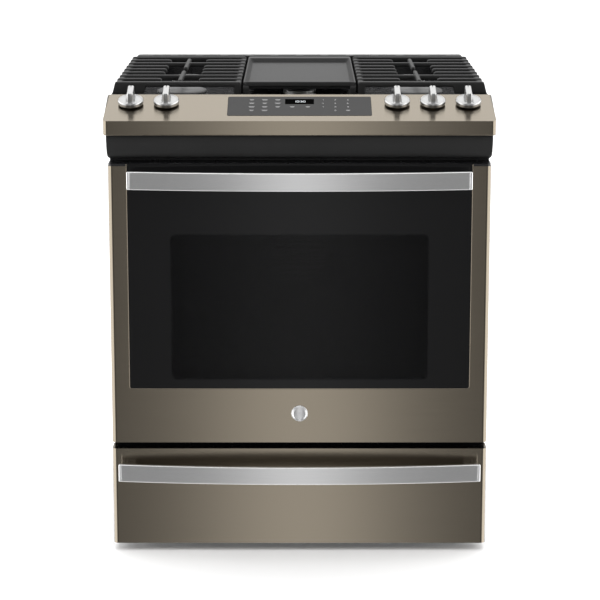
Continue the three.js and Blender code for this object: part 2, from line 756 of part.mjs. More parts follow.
function controlPanel() {
  const shell = prismX(panelProfile(0), both(panelHalf), 4)
    .intersect(prismZ(fullPlan(panelHalf, panelDepth, panelCorner), [fasciaBottom - 5, panelRear + 5], 5));
  const hollow = prismX(panelProfile(sheet), both(panelHalf - panelCorner), 4);
  const across = both(panelHalf - panelCorner);
  const under = fasciaBottom - 5;
  const underside = box(across, [14, panelDepth - sheet], [under, fasciaBottom + 5]);
  const rearOpening = box(across, [panelDepth - 5, panelDepth + 5], [under, cooktopHeight - 16]);
  let panel = shell.subtract(hollow).subtract(underside).subtract(rearOpening);
  for (const x of Object.values(knobPlaces)) {
    panel = panel.subtract(onPanel(cylinder(spindleRadius + 2, -10, 10, 12), x, knobSet));
  }
  const window = toSolid(new THREE.BoxGeometry(touchWidth + 2 * gap, touchLength + 2 * gap, 20));
  return panel.subtract(onPanel(window, 0, touchSet));
}

function touchPanel() {
  const slab = new THREE.BoxGeometry(touchWidth, touchLength, touchThickness);
  return onPanel(toSolid(slab.translate(0, 0, 0.6 - touchThickness / 2)), 0, touchSet);
}

function manifoldPanelProfile(inset) {
  const shape = new THREE.Shape();
  const top = manifoldTop - inset;
  const bottom = manifoldBottom + inset;
  const back = frameDepth - 1 + inset;
  shape.moveTo(14 + inset, top);
  shape.quadraticCurveTo(8 + inset, (top + bottom) / 2 + 10, 10 + inset, bottom + 14);
  shape.quadraticCurveTo(11 + inset, bottom, 24 + inset, bottom);
  shape.lineTo(back, bottom);
  shape.lineTo(back, top);
  return shape;
}

function manifoldPanel() {
  const topHalf = half + 3.5;
  const shell = prismX(manifoldPanelProfile(0), both(topHalf), 6);
  const hollow = prismX(manifoldPanelProfile(sheet), both(topHalf - sheet - 4), 6);
  const outline = new THREE.Shape();
  const radius = 6;
  const low = half + 1.5;
  outline.moveTo(-topHalf, manifoldTop + 5);
  outline.lineTo(-low, manifoldBottom + radius);
  outline.quadraticCurveTo(-low, manifoldBottom, -low + radius, manifoldBottom);
  outline.lineTo(low - radius, manifoldBottom);
  outline.quadraticCurveTo(low, manifoldBottom, low, manifoldBottom + radius);
  outline.lineTo(topHalf, manifoldTop + 5);
  return shell.intersect(prismY(outline, [0, frameDepth + 5], 4)).subtract(hollow);
}

// Knob about its own axis: +Z out of the panel, +Y to the grip's pointer end.
function knob() {
  const low = knobFloat;
  const high = knobFloat + knobSkirt;
  const skirt = turned(
    [[0, low], [knobRadius - 1.5, low], [knobRadius, low + 1.5], [knobRadius, high - 1],
      [knobRadius - 1, high], [knobRadius * 0.6, high - 2], [0, high - 2]],
    24,
  );
  const front = knobGripShift - knobGripLength / 2;
  const gripSpan = [front, front + knobGripLength];
  const grip = roundedRectangle(both(knobGripWidth / 2), gripSpan, knobGripWidth * 0.35);
  const geometry = new THREE.ExtrudeGeometry(grip, {
    depth: knobHeight - high + 1,
    bevelEnabled: true,
    bevelThickness: 1.5,
    bevelSize: 1.5,
    bevelOffset: -1.5,
    bevelSegments: 1,
    curveSegments: 2,
  });
  const blade = toSolid(geometry.translate(0, 0, high - 2.5));
  const bore = cylinder(spindleRadius + gap, 0, knobHeight - 8, 12);
  return skirt.add(blade).subtract(bore);
}

const spindleTop = knobHeight - 8 - knobPush - 1.5;
const spindle = () => cylinder(spindleRadius, -26, spindleTop, 12);

// ---------------------------------------------------------------- gas train
const pipeDepth = knobSet + manifoldPipeDrop * Math.sin(panelSlope);
const pipeZ = onSlope(knobSet) - manifoldPipeDrop * Math.cos(panelSlope);
const dropX = chassisHalf - 22;
const dropDepth = backPanelDepth - 24;

function gasManifold() {
  const firstX = knobPlaces.left_rear - 14;
  const pipe = rod([[firstX, pipeDepth, pipeZ], [dropX, pipeDepth, pipeZ]], 9);
  const run = rod([[dropX, pipeDepth - 9, pipeZ], [dropX, dropDepth, pipeZ]], 8);
  const drop = rod([[dropX, dropDepth, pipeZ + 8], [dropX, dropDepth, gasInlet.z]], 8);
  const link = rod([[dropX + 8, dropDepth, gasInlet.z], [gasInlet.x + 34, dropDepth, gasInlet.z]], 8);
  const valves = Object.values(knobPlaces).map((x) => {
    const bore = cylinder(spindleRadius + gap, -28, -10, 12);
    const body = cylinder(11, -manifoldPipeDrop, -16, 12).subtract(bore);
    return onPanel(body, x, knobSet);
  });
  return joined([pipe, run, drop, link, ...valves]);
}

function pressureRegulator() {
  const { x, z } = gasInlet;
  const body = box([x - 22, x + 33], [dropDepth - 20, dropDepth + 16], [z - 18, z + 18]);
  const dome = moved(cylinder(16, 0, 16, 16), x, dropDepth - 2, z + 17);
  const inletPipe = cylinder(12, -1, bodyDepth - dropDepth - 20, 16).rotate([-90, 0, 0]);
  const inlet = moved(inletPipe, x, dropDepth + 14, z);
  return joined([body, dome, inlet]);
}

function cordGland() {
  const bush = turned(
    [[5, -12], [cordInlet.radius, -12], [cordInlet.radius, 0.6], [cordInlet.radius + 4, 0.6],
      [cordInlet.radius + 4, 4], [8, 9], [5, 9]],
    14,
  );
  return moved(bush.rotate([-90, 0, 0]), cordInlet.x, backPanelDepth, cordInlet.z);
}

// ---------------------------------------------------------------- cooktop
const burnerPlaces = {
  left_front: { x: -grateMiddle, depth: frontBurner, radius: 48 },
  left_rear: { x: -grateMiddle, depth: rearBurner, radius: 34 },
  right_front: { x: grateMiddle, depth: frontBurner, radius: 50 },
  right_rear: { x: grateMiddle, depth: rearBurner, radius: 30 },
};
const centreBurner = { depth: (frontBurner + rearBurner) / 2, halfWidth: 30, halfLength: 96 };
const throatRadius = 20;

function cooktop() {
  const front = panelDepth + 2;
  const flangeBottom = cooktopHeight - 24;
  const insideDepths = [front + liner, bodyDepth - liner];
  const skin = box(both(cooktopHalf), [front, bodyDepth], [flangeBottom, cooktopHeight]).subtract(
    box(both(cooktopHalf - liner), insideDepths, [flangeBottom - 5, cooktopHeight - liner]),
  );
  const mouth = roundedRectangle(both(wellHalf), [wellFront, wellBack], 22);
  const shell = roundedRectangle(both(wellHalf + liner), [wellFront - liner, wellBack + liner], 24);
  const pan = prismZ(shell, [wellFloor - liner, cooktopHeight - liner / 2], 3);
  const hollow = prismZ(mouth, [wellFloor, cooktopHeight + 5], 3);
  let top = skin.add(pan).subtract(hollow);
  for (const { x, depth } of [...Object.values(burnerPlaces), { x: 0, depth: centreBurner.depth }]) {
    top = top.subtract(moved(cylinder(throatRadius + 1, wellFloor - 20, wellFloor + 20, 16), x, depth, 0));
  }
  return top;
}

const headBottom = wellFloor + gap;
const headTop = headBottom + headHeight;

function burnerHead(radius) {
  return turned([
    [10, headBottom - 18], [throatRadius - 1, headBottom - 18], [throatRadius - 1, headBottom],
    [radius + 5, headBottom], [radius + 5, headBottom + 3], [radius, headBottom + 5], [radius, headTop],
    [radius - 6, headTop], [radius - 6, headBottom + 5], [10, headBottom + 5],
  ]);
}

function burnerCap(radius) {
  const low = headTop + gap;
  return turned([
    [0, low], [radius + 3, low], [radius + 4, low + 2], [radius + 2, low + capThickness - 2],
    [radius - 4, low + capThickness], [0, low + capThickness],
  ], 24);
}

function stadium(halfWidth, halfLength) {
  const shape = new THREE.Shape();
  shape.absarc(0, centreBurner.depth + halfLength - halfWidth, halfWidth, 0, Math.PI, false);
  shape.absarc(0, centreBurner.depth - halfLength + halfWidth, halfWidth, Math.PI, 2 * Math.PI, false);
  return shape;
}

function centreHead() {
  const { halfWidth, halfLength, depth } = centreBurner;
  const foot = prismZ(stadium(halfWidth + 5, halfLength + 5), [headBottom, headBottom + 3], 8);
  const wall = prismZ(stadium(halfWidth, halfLength), [headBottom, headTop], 8);
  const hollow = prismZ(stadium(halfWidth - 6, halfLength - 6), [headBottom + 5, headTop + 5], 8);
  const throat = moved(cylinder(throatRadius - 1, headBottom - 18, headBottom + 1), 0, depth, 0);
  const bore = moved(cylinder(10, headBottom - 30, headTop + 5), 0, depth, 0);
  return joined([foot, wall, throat]).subtract(hollow).subtract(bore);
}

function centreCap() {
  const { halfWidth, halfLength } = centreBurner;
  const low = headTop + gap;
  const base = prismZ(stadium(halfWidth + 4, halfLength + 4), [low, low + capThickness - 2], 8);
  const crown = prismZ(stadium(halfWidth, halfLength), [low + 1, low + capThickness], 8);
  return base.add(crown);
}

// Cast grate for the left side: bars run across it, and short bars cross over each burner.
function grate() {
  const z = [grateTop - barHeight, grateTop];
  const low = [z[0] - 2, grateTop - sideRailDrop];
  const outer = -grateOuterHalf;
  const inner = -grateInnerHalf;
  const depths = [grateFront, grateBack];
  const parts = [
    box([outer, outer + 12], depths, low),
    box([inner - 12, inner], depths, low),
    box([outer, inner], [grateFront, grateFront + frameBarWidth], z),
    box([outer, inner], [grateBack - frameBarWidth, grateBack], z),
  ];
  for (let i = 1; i < barCount - 1; i++) {
    const span = [barDepth(i) - barWidth / 2, barDepth(i) + barWidth / 2];
    if (i === 2 || i === 6) {
      parts.push(box([outer, inner], span, z));
    } else {
      parts.push(box([outer, -grateMiddle - fingerGap / 2], span, z));
      parts.push(box([-grateMiddle + fingerGap / 2, inner], span, z));
    }
  }
  for (const depth of [frontBurner, rearBurner]) {
    const span = [depth - crossBarLength / 2, depth + crossBarLength / 2];
    parts.push(box([-grateMiddle - crossBarWidth / 2, -grateMiddle + crossBarWidth / 2], span, z));
  }
  const onRim = cooktopHeight + gap;
  const onFloor = wellFloor + gap;
  const flare = 5;
  const skirt = polygon([
    [outer, grateTop - sideRailDrop], [outer + 66, grateTop - sideRailDrop],
    [outer + 60, onRim], [outer - flare, onRim],
  ]);
  const rearSkirt = polygon([
    [outer, grateTop - sideRailDrop], [outer + 30, grateTop - sideRailDrop],
    [outer + 24, onRim], [outer - flare, onRim],
  ]);
  parts.push(prismY(skirt, [grateFront, grateFront + 12]));
  parts.push(prismY(rearSkirt, [grateBack - 12, grateBack]));
  for (const depth of [grateFront, grateBack - 14]) {
    parts.push(box([inner - 15, inner], [depth, depth + 14], [onFloor, z[1] - sideRailDrop]));
  }
  const middle = (grateFront + grateBack) / 2;
  parts.push(box([outer, outer + 12], [middle - 10, middle + 10], [onRim, z[1] - sideRailDrop]));
  parts.push(box([inner - 12, inner], [middle - 8, middle + 8], [onFloor, z[1] - sideRailDrop]));
  return joined(parts);
}

function griddle() {
  const edge = [grateFront, grateBack];
  const lip = 3.5;
  const band = box(both(griddleHalf), edge, [grateTop - 9, grateTop]);
  const trayHeights = [grateTop - griddleWell - 5, grateTop - 5];
  const tray = box(both(griddleHalf - 4), [edge[0] + 11, edge[1] - 11], trayHeights);
  const floor = grateTop - griddleWell;
  const rim = { x: griddleHalf - lip, front: edge[0] + lip + 3, back: edge[1] - 36 };
  const well = new THREE.BufferGeometry();
  const corners = [
    [-rim.x, rim.front], [rim.x, rim.front], [rim.x, rim.back], [-rim.x, rim.back],
  ];
  const lowered = [
    [-rim.x + griddleDraft, rim.front + griddleDraft], [rim.x - griddleDraft, rim.front + griddleDraft],
    [rim.x - griddleDraft, rim.back - griddleDraft], [-rim.x + griddleDraft, rim.back - griddleDraft],
  ];
  const points = [
    ...lowered.map(([x, d]) => [x, at(d), floor]),
    ...corners.map(([x, d]) => [x, at(d), grateTop + 0.01]),
  ];
  well.setAttribute("position", new THREE.Float32BufferAttribute(points.flat(), 3));
  const caps = [0, 2, 1, 0, 3, 2, 4, 5, 6, 4, 6, 7];
  const sides = [0, 1, 2, 3].flatMap((i) => {
    const next = (i + 1) % 4;
    return [i, next, next + 4, i, next + 4, i + 4];
  });
  well.setIndex([...caps, ...sides]);
  const legs = [];
  for (const side of [-1, 1]) {
    for (const depth of [edge[0], edge[1] - 14]) {
      const xs = side > 0 ? [griddleHalf - 12, griddleHalf] : [-griddleHalf, -griddleHalf + 12];
      legs.push(box(xs, [depth, depth + 14], [wellFloor + gap, grateTop - 5]));
    }
  }
  return joined([band, tray, ...legs]).subtract(toSolid(well));
}

function rearVentTrim() {
  const depths = [trimFront, trimBack];
  const reach = grateOuterHalf - 6;
  const z = [cooktopHeight + gap, grateTop];
  let trim = box(both(reach), depths, z).subtract(
    box(both(reach - liner), [depths[0] + liner, depths[1] - liner], [z[0] - 5, z[1] - liner]),
  );
  const slots = 12;
  const pitch = (2 * reach - 60) / slots;
  for (let i = 0; i < slots; i++) {
    const x = (i - (slots - 1) / 2) * pitch;
    const slot = [x - pitch * 0.36, x + pitch * 0.36];
    trim = trim.subtract(box(slot, [depths[0] + 11, depths[0] + 17], [z[1] - 6, z[1] + 5]));
  }
  return trim;
}

// ---------------------------------------------------------------- assembly
place("left_side_panel", sidePanel(-1), blackPaint);
place("right_side_panel", sidePanel(1), blackPaint);
place("back_panel", backPanel(), galvanised);
place("front_frame", frontFrame(), blackEnamel);
place("base_frame", baseFrame(), galvanised);
for (const [name, [side, depth]] of Object.entries(legPlaces)) {
  place(name, leg(), galvanised).position.set(side * legX, at(depth), 0);
}

place("oven_liner", ovenLiner(), blackEnamel);
place("insulation_wrap", insulationWrap(), glassWool);
place("door_gasket", doorGasket(), gasketWeave);
for (const [name, level] of Object.entries(rackPlaces)) place(name, ovenRack(level), chromeRod);
place("broil_burner", broilBurner(), aluminium);
place("bake_burner", bakeBurner(), aluminium);
place("fan_cover", fanCover(), blackEnamel);
place("convection_fan", convectionFan(), aluminium);
place("fan_motor", fanMotor(), galvanised);

place("door_skin", doorSkin(), slate);
place("door_glass", doorGlass(), blackGlass);
place("door_liner", doorLiner(), blackEnamel);
place("door_inner_glass", doorInnerGlass(), clearGlass);
place("door_handle", bowedHandle(doorHandleLength, doorTop - doorHandleDrop - handleHeight), brushedSteel);
place("door_hinge_left", doorHinge(-1), galvanised);
place("door_hinge_right", doorHinge(1), galvanised);

place("drawer_front", drawerFront(), slate);
place("drawer_box", drawerBox(), blackPaint);
const drawerHandleBase = drawerTop - drawerHandleDrop - handleHeight;
place("drawer_handle", bowedHandle(drawerHandleLength, drawerHandleBase), brushedSteel);

place("control_panel", controlPanel(), slate);
place("touch_panel", touchPanel(), touchGlass);
place("manifold_panel", manifoldPanel(), blackPaint);
for (const [name, x] of Object.entries(knobPlaces)) {
  const station = new THREE.Group();
  station.position.set(x, at(knobSet), onSlope(knobSet));
  station.rotation.x = panelSlope;
  place("knob_" + name, knob(), knobMetal, station);
  place("spindle_" + name, spindle(), brass, station);
  range.add(station);
}

place("gas_manifold", gasManifold(), aluminium);
place("pressure_regulator", pressureRegulator(), aluminium);
place("cord_gland", cordGland(), blackPlastic);

place("cooktop", cooktop(), blackEnamel);
place("rear_vent_trim", rearVentTrim(), blackPaint);
for (const [name, { x, depth, radius }] of Object.entries(burnerPlaces)) {
  place("burner_head_" + name, burnerHead(radius), aluminium).position.set(x, at(depth), 0);
  place("burner_cap_" + name, burnerCap(radius), burnerCapEnamel).position.set(x, at(depth), 0);
}
place("burner_head_center", centreHead(), aluminium);
place("burner_cap_center", centreCap(), burnerCapEnamel);
place("left_grate", grate(), castIron);
place("right_grate", grate().mirror([1, 0, 0]), castIron);
place("griddle", griddle(), castIron);

export default range;
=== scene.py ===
# %% [markdown]
# # A slide-in gas range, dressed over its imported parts
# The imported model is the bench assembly: every piece is in its true place and rides on a body that MuJoCo
# can move. This lesson leaves those pieces where they are and gives each visible one its real surface,
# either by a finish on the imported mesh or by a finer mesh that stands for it.

# %% Load the frame
import json
import math

import bmesh
import bpy
from mathutils import Matrix, Vector


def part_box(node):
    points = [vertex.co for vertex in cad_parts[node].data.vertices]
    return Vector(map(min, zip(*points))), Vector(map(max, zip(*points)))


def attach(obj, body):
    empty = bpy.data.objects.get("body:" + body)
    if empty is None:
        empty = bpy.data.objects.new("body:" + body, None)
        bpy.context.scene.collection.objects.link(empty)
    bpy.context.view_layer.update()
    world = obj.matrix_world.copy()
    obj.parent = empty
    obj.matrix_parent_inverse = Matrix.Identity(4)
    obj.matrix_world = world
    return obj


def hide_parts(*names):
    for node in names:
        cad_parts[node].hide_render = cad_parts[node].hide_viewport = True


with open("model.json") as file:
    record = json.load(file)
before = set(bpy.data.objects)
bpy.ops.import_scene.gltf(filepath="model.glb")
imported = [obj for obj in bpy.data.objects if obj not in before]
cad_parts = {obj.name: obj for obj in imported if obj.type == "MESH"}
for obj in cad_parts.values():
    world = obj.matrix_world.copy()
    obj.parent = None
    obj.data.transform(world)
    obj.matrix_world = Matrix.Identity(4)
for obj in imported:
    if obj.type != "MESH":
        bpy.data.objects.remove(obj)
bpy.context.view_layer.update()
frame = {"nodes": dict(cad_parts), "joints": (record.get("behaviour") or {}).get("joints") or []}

MM = 0.001

# %% [markdown]
# The camera stands well back with a long lens, a little above the cooktop, and looks down at the door. A
# small shift of the lens keeps the upright edges nearly upright.

# %% Camera
CAMERA_DISTANCE = 4.024
CAMERA_HEIGHT = 1.460
CAMERA_DIP = 11.07
door_low, door_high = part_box("door_skin")
camera_data = bpy.data.cameras.new("product_camera")
camera_data.lens = 123.9
camera_data.shift_x = 0.0008
camera_data.shift_y = -0.12
camera = bpy.data.objects.new("product_camera", camera_data)
camera.location = (0, door_low.y - CAMERA_DISTANCE, CAMERA_HEIGHT)
camera.rotation_euler = (math.radians(90 - CAMERA_DIP), 0, 0)
bpy.context.scene.collection.objects.link(camera)
bpy.context.scene.camera = camera
bpy.context.scene.view_settings.view_transform = "Standard"
print("camera:", round(CAMERA_DISTANCE, 2), "m from the door,", CAMERA_DIP, "degrees down")

# %% [markdown]
# Shader nodes are wired here by writing arithmetic. A Signal wraps one socket, and an operator between two
# signals, or a signal and a number, adds the Math node that does it. `1 - mask` needs the reflected form.
# A Finish is a material, and its one method `node` adds any other node: its type, the settings that have to
# be set first, and then the values or links of its sockets.


# %% Signals and finishes
class Signal:
    """A socket's value, which takes part in plain arithmetic."""

    def __init__(self, owner, socket):
        self.owner = owner
        self.socket = socket

    def math(self, operation, *values):
        return self.owner.node("Math", {"operation": operation}, dict(enumerate(values)))

    def __add__(self, other):
        return self.math("ADD", self, other)

    __radd__ = __add__

    def __sub__(self, other):
        return self.math("SUBTRACT", self, other)

    def __rsub__(self, other):
        return self.math("SUBTRACT", other, self)

    def __mul__(self, other):
        return self.math("MULTIPLY", self, other)

    __rmul__ = __mul__

    def __truediv__(self, other):
        return self.math("DIVIDE", self, other)

    def __gt__(self, other):
        return self.math("GREATER_THAN", self, other)

    def __lt__(self, other):
        return self.math("LESS_THAN", self, other)

    def __abs__(self):
        return self.math("ABSOLUTE", self)

    def sine(self):
        return self.math("SINE", self)

    def root(self):
        return self.math("SQRT", self)

    def at_least(self, other):
        return self.math("MAXIMUM", self, other)

    def between(self, start, end):
        """0 below start, 1 above end, smooth in between."""
        limits = {"From Min": start, "From Max": end, "To Min": 0.0, "To Max": 1.0}
        settings = {"interpolation_type": "SMOOTHSTEP"}
        return self.owner.node("MapRange", settings, {"Value": self, **limits})


class Finish:
    """A node tree that is written as arithmetic. On its own it is a material with a Principled shader."""

    def __init__(self, name):
        self.material = bpy.data.materials.new(name)
        self.material.use_nodes = True
        self.tree = self.material.node_tree
        self.shader = self.tree.nodes["Principled BSDF"]

    def node(self, kind, settings=None, inputs=None, output=0):
        made = self.tree.nodes.new("ShaderNode" + kind)
        for name, value in (settings or {}).items():
            if name == "stops":
                set_stops(made.color_ramp, value)
            else:
                setattr(made, name, value)
        for name, value in (inputs or {}).items():
            self.feed(made.inputs[name], value)
        return Signal(self, made.outputs[output])

    def feed(self, socket, value):
        if isinstance(value, Signal):
            self.tree.links.new(value.socket, socket)
        else:
            socket.default_value = value

    def set(self, **values):
        """Feeds the shader's own sockets; an underscore in a name stands for a space."""
        for name, value in values.items():
            self.feed(self.shader.inputs[name.replace("_", " ")], value)
        return self

    def place(self, scale=(1, 1, 1)):
        """The point on the piece, in its own metres, stretched by scale."""
        point = self.node("TexCoord", output="Object")
        return self.node("VectorMath", {"operation": "MULTIPLY"}, {0: point, 1: scale})

    def noise(self, scale, detail=2.0, at=(1, 1, 1)):
        inputs = {"Vector": self.place(at), "Scale": scale, "Detail": detail}
        return self.node("TexNoise", inputs=inputs)

    def blend(self, factor, first, second):
        """A colour between two others, by a factor."""
        inputs = {0: factor, 6: opaque(first), 7: opaque(second)}
        return self.node("Mix", {"data_type": "RGBA"}, inputs, output=2)

    def colour(self, factor, first, second):
        """A base colour that varies between two others, by a factor."""
        return self.set(Base_Color=self.blend(factor, first, second))

    def relief(self, height, depth):
        """Small bumps as high as depth, in metres, where height is 1."""
        return self.node("Bump", inputs={"Height": height, "Distance": depth, "Strength": 1.0})


def opaque(colour):
    """One number gives a grey, three give a colour."""
    return (*colour, 1) if isinstance(colour, tuple) else (colour, colour, colour, 1)


def set_stops(ramp, stops):
    while len(ramp.elements) > 1:
        ramp.elements.remove(ramp.elements[-1])
    for index, (position, value) in enumerate(stops):
        element = ramp.elements[0] if index == 0 else ramp.elements.new(position)
        element.position = position
        element.color = opaque(value)


# %% [markdown]
# The studio is a white room: a large softbox overhead, bright walls at both sides, and a dark wall behind
# the camera with one upright strip light in its middle. Brushed metal shows that strip as a bright middle
# that falls off to both sides. The room is painted on the world by direction, because a metal front mostly
# shows what stands around it. A plain white ground is what the camera sees past the range.


# %% Studio
class Studio(Finish):
    def __init__(self):
        world = bpy.data.worlds.new("studio")
        world.use_nodes = True
        bpy.context.scene.world = world
        self.tree = world.node_tree
        self.shader = self.tree.nodes["Background"]


STRIP_LIGHT = 1.8
REAR_WALL = 0.5
SIDE_WALLS = 3.1
CEILING = 2.0
GROUND = 1.4
BACKDROP = 1.2

studio = Studio()
direction = studio.node("TexCoord", output="Generated")
across = abs(studio.node("SeparateXYZ", inputs={0: direction}, output="X"))
rearward = studio.node("SeparateXYZ", inputs={0: direction}, output="Y")
upward = studio.node("SeparateXYZ", inputs={0: direction}, output="Z")
strip_stops = [(0.0, 1.0), (0.02, 0.82), (0.04, 0.5), (0.06, 0.28), (0.09, 0.16), (0.12, 0.13)]
level = STRIP_LIGHT * studio.node("ValToRGB", {"stops": strip_stops}, {0: across})
walls = (
    (rearward.between(-0.05, 0.15), REAR_WALL),
    (across.between(0.5, 0.78), SIDE_WALLS),
    ((upward + 0.35 * rearward).between(0.55, 0.85), CEILING),
    ((0 - upward).between(0.65, 0.9), GROUND),
    (studio.node("LightPath", output="Is Camera Ray"), BACKDROP),
)
for mask, brightness in walls:
    level = level * (1 - mask) + brightness * mask
studio.feed(studio.shader.inputs["Color"], (1, 1, 1, 1))
studio.feed(studio.shader.inputs["Strength"], level)
print("studio:", len(studio.tree.nodes), "nodes")

# %% Floor and lamp
FLOOR_HALF = 30
floor_form = bmesh.new()
bmesh.ops.create_grid(floor_form, x_segments=8, y_segments=8, size=FLOOR_HALF)
floor_mesh = bpy.data.meshes.new("floor")
floor_form.to_mesh(floor_mesh)
floor_form.free()
floor = bpy.data.objects.new("floor", floor_mesh)
bpy.context.scene.collection.objects.link(floor)
floor.visible_glossy = False
paper = Finish("pale_floor")
paper.colour(paper.noise(3.0), 0.86, 0.88)
paper.set(Roughness=0.9)
floor.data.materials.append(paper.material)

lamp_data = bpy.data.lights.new("overhead_softbox", "AREA")
lamp_data.shape = "RECTANGLE"
lamp_data.size = 2.2
lamp_data.size_y = 1.2
lamp_data.energy = 55
lamp = bpy.data.objects.new("overhead_softbox", lamp_data)
lamp.location = (0, 0.9, 3.0)
lamp.rotation_euler = (math.radians(-14), 0, 0)
lamp.visible_glossy = False
bpy.context.scene.collection.objects.link(lamp)
print("floor:", 2 * FLOOR_HALF, "m wide; lamp:", lamp_data.energy, "W")

# %% [markdown]
# ## Finishes
# The slate panels are steel with a warm grey metallic coat, brushed along the width. Fine streaks come
# from noise that is stretched along X, and they reach the roughness and a very shallow relief. The shine is
# narrow along the brushing and wide across it, which is what anisotropy does. Cycles takes the direction of
# the brushing from the mesh's texture space, which it circles about Z, so `brushed_along_x` moves the middle
# of that space far behind the range, where the circle runs almost straight along X.

# %% Slate and brushed steel
QUARTER = 0.25
FAR_BEHIND = 50

slate = Finish("slate_steel")
streaks = slate.noise(1.0, 3.0, at=(6, 900, 900))
cloud = slate.noise(4.0, 1.0)
slate.colour(streaks * 0.7 + cloud * 0.3, (0.19, 0.164, 0.128), (0.225, 0.197, 0.156))
slate.set(Metallic=1.0, Roughness=0.15 + 0.05 * streaks, Anisotropic=0.85, Anisotropic_Rotation=QUARTER)
slate.set(Normal=slate.relief(streaks, 0.01 * MM))

strap = Finish("brushed_steel")
streaks = strap.noise(1.0, 3.0, at=(10, 1200, 1200))
strap.colour(streaks, (0.76, 0.76, 0.765), 0.86)
strap.set(Metallic=1.0, Roughness=0.26 + 0.07 * streaks, Anisotropic=0.4, Anisotropic_Rotation=QUARTER)
strap.set(Normal=strap.relief(streaks, 0.01 * MM))


def brushed_along_x(piece):
    piece.data.use_auto_texspace = False
    piece.data.texspace_location = (0, FAR_BEHIND, 0)
    piece.data.texspace_size = (1, 1, 1)


# %% [markdown]
# The knobs are turned and polished, so their fine marks are rings about the knob's own axis. Each knob is
# made about its own origin, which lets the distance from the axis drive the rings.

# %% Knob metal
knob_metal = Finish("knob_metal")
knob_axis = next(j["axis"] for j in frame["joints"] if j["name"].startswith("valve_turn_"))
from_axis = {0: knob_metal.place(), 1: knob_axis}
off_axis = knob_metal.node("VectorMath", {"operation": "CROSS_PRODUCT"}, from_axis)
radial = knob_metal.node("VectorMath", {"operation": "LENGTH"}, {0: off_axis}, output="Value")
RING_RATE = 9000
rings = (radial * RING_RATE).sine() * 0.5 + 0.5
grain = knob_metal.noise(700.0, 2.0)
knob_metal.colour(grain, 0.36, (0.42, 0.42, 0.415))
knob_metal.set(Metallic=1.0, Roughness=0.25 + 0.06 * rings + 0.05 * grain)
knob_metal.set(Normal=knob_metal.relief(rings, 0.004 * MM))

# %% [markdown]
# Porcelain enamel is fired glass on steel: it is glossy, slightly wavy, and holds tiny pale specks. Black
# paint on the sheet panels is duller and has the fine dimples of a sprayed coat. A turned-down specular
# level keeps both of them black under the large softbox.

# %% Enamel, paint and moulded plastic
enamel = Finish("black_enamel")
cells = enamel.node("TexVoronoi", inputs={"Vector": enamel.place(), "Scale": 320.0}, output="Distance")
specks = (cells < 0.16) * (enamel.noise(90.0, 1.0) > 0.52)
enamel.colour(specks, (0.008, 0.008, 0.009), (0.018, 0.0185, 0.02))
enamel.set(Roughness=0.2 + 0.12 * enamel.noise(30.0), Specular_IOR_Level=0.35)
enamel.set(Normal=enamel.relief(enamel.noise(60.0, 1.0), 0.1 * MM))

paint = Finish("black_paint")
dimples = paint.noise(650.0, 1.0)
paint.colour(paint.noise(7.0), 0.011, 0.015)
paint.set(Roughness=0.38 + 0.08 * dimples, Specular_IOR_Level=0.3)
paint.set(Normal=paint.relief(dimples, 0.06 * MM))

plastic = Finish("black_plastic")
grain = plastic.noise(1400.0, 2.0)
plastic.colour(grain, 0.012, 0.022)
plastic.set(Roughness=0.45 + 0.1 * grain, Normal=plastic.relief(grain, 0.08 * MM))

# %% [markdown]
# The door's outer pane is black around a see-through window. The black is a fired print on the inside of
# the glass, and it ends in rows of dots that grow smaller towards the window, as on a car windscreen. A
# rounded rectangle is measured from the window's middle; inside it the pane lets some light pass, so that
# the racks behind can just be made out.

# %% Door glass
sight_low, sight_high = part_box("door_inner_glass")
SIGHT_OVERLAP = 8 * MM
sight_half = (sight_high.x - sight_low.x) / 2 - SIGHT_OVERLAP
sight_middle = (sight_high.z + sight_low.z) / 2
sight_rise = (sight_high.z - sight_low.z) / 2 - SIGHT_OVERLAP
WINDOW_CORNER = 12 * MM

glass = Finish("black_glass")
point = glass.place()
glass_x = glass.node("SeparateXYZ", inputs={0: point}, output="X")
glass_z = glass.node("SeparateXYZ", inputs={0: point}, output="Z")
over_x = (abs(glass_x) - (sight_half - WINDOW_CORNER)).at_least(0)
over_z = (abs(glass_z - sight_middle) - (sight_rise - WINDOW_CORNER)).at_least(0)
past_edge = (over_x * over_x + over_z * over_z).root() - WINDOW_CORNER
DOT_PITCH = 2.4 * MM
DOT_BAND = 5 * MM
wave = 2 * math.pi / DOT_PITCH
dots = (glass_x * wave).sine() * (glass_z * wave).sine()
printed = past_edge > 0
fade = (past_edge + DOT_BAND) / DOT_BAND
dotted = (dots > 1 - 1.1 * fade) * (past_edge > -DOT_BAND)
black_print = printed.at_least(dotted)
glass.colour(black_print, (0.004, 0.004, 0.0042), (0.0072, 0.0072, 0.0074))
glass.set(Roughness=0.05 + 0.03 * glass.noise(12.0), Specular_IOR_Level=0.09)
glass.set(Alpha=0.62 + 0.38 * black_print)
glass.material.blend_method = "HASHED"

clear = Finish("clear_glass")
clear.colour(clear.noise(5.0), (0.02, 0.022, 0.022), (0.03, 0.033, 0.032))
clear.set(Roughness=0.03 + 0.03 * clear.noise(20.0), Alpha=0.3 + 0.05 * clear.noise(9.0))
clear.material.blend_method = "HASHED"

# %% [markdown]
# The touch panel is a satin grey film behind a hard coat, with a black window for the clock. Cast
# iron is rough from the sand mould: two sizes of grain in the relief, and tops painted a little greyer
# than the sides, a painted top light. The burner caps wear a matt enamel.

# %% Touch film, cast iron and cap enamel
touch = Finish("touch_glass")
film = touch.noise(900.0, 1.0)
touch.colour(film, (0.010, 0.0096, 0.0096), (0.013, 0.0126, 0.0126))
touch.set(Roughness=0.38 + 0.06 * film, Specular_IOR_Level=0.14)

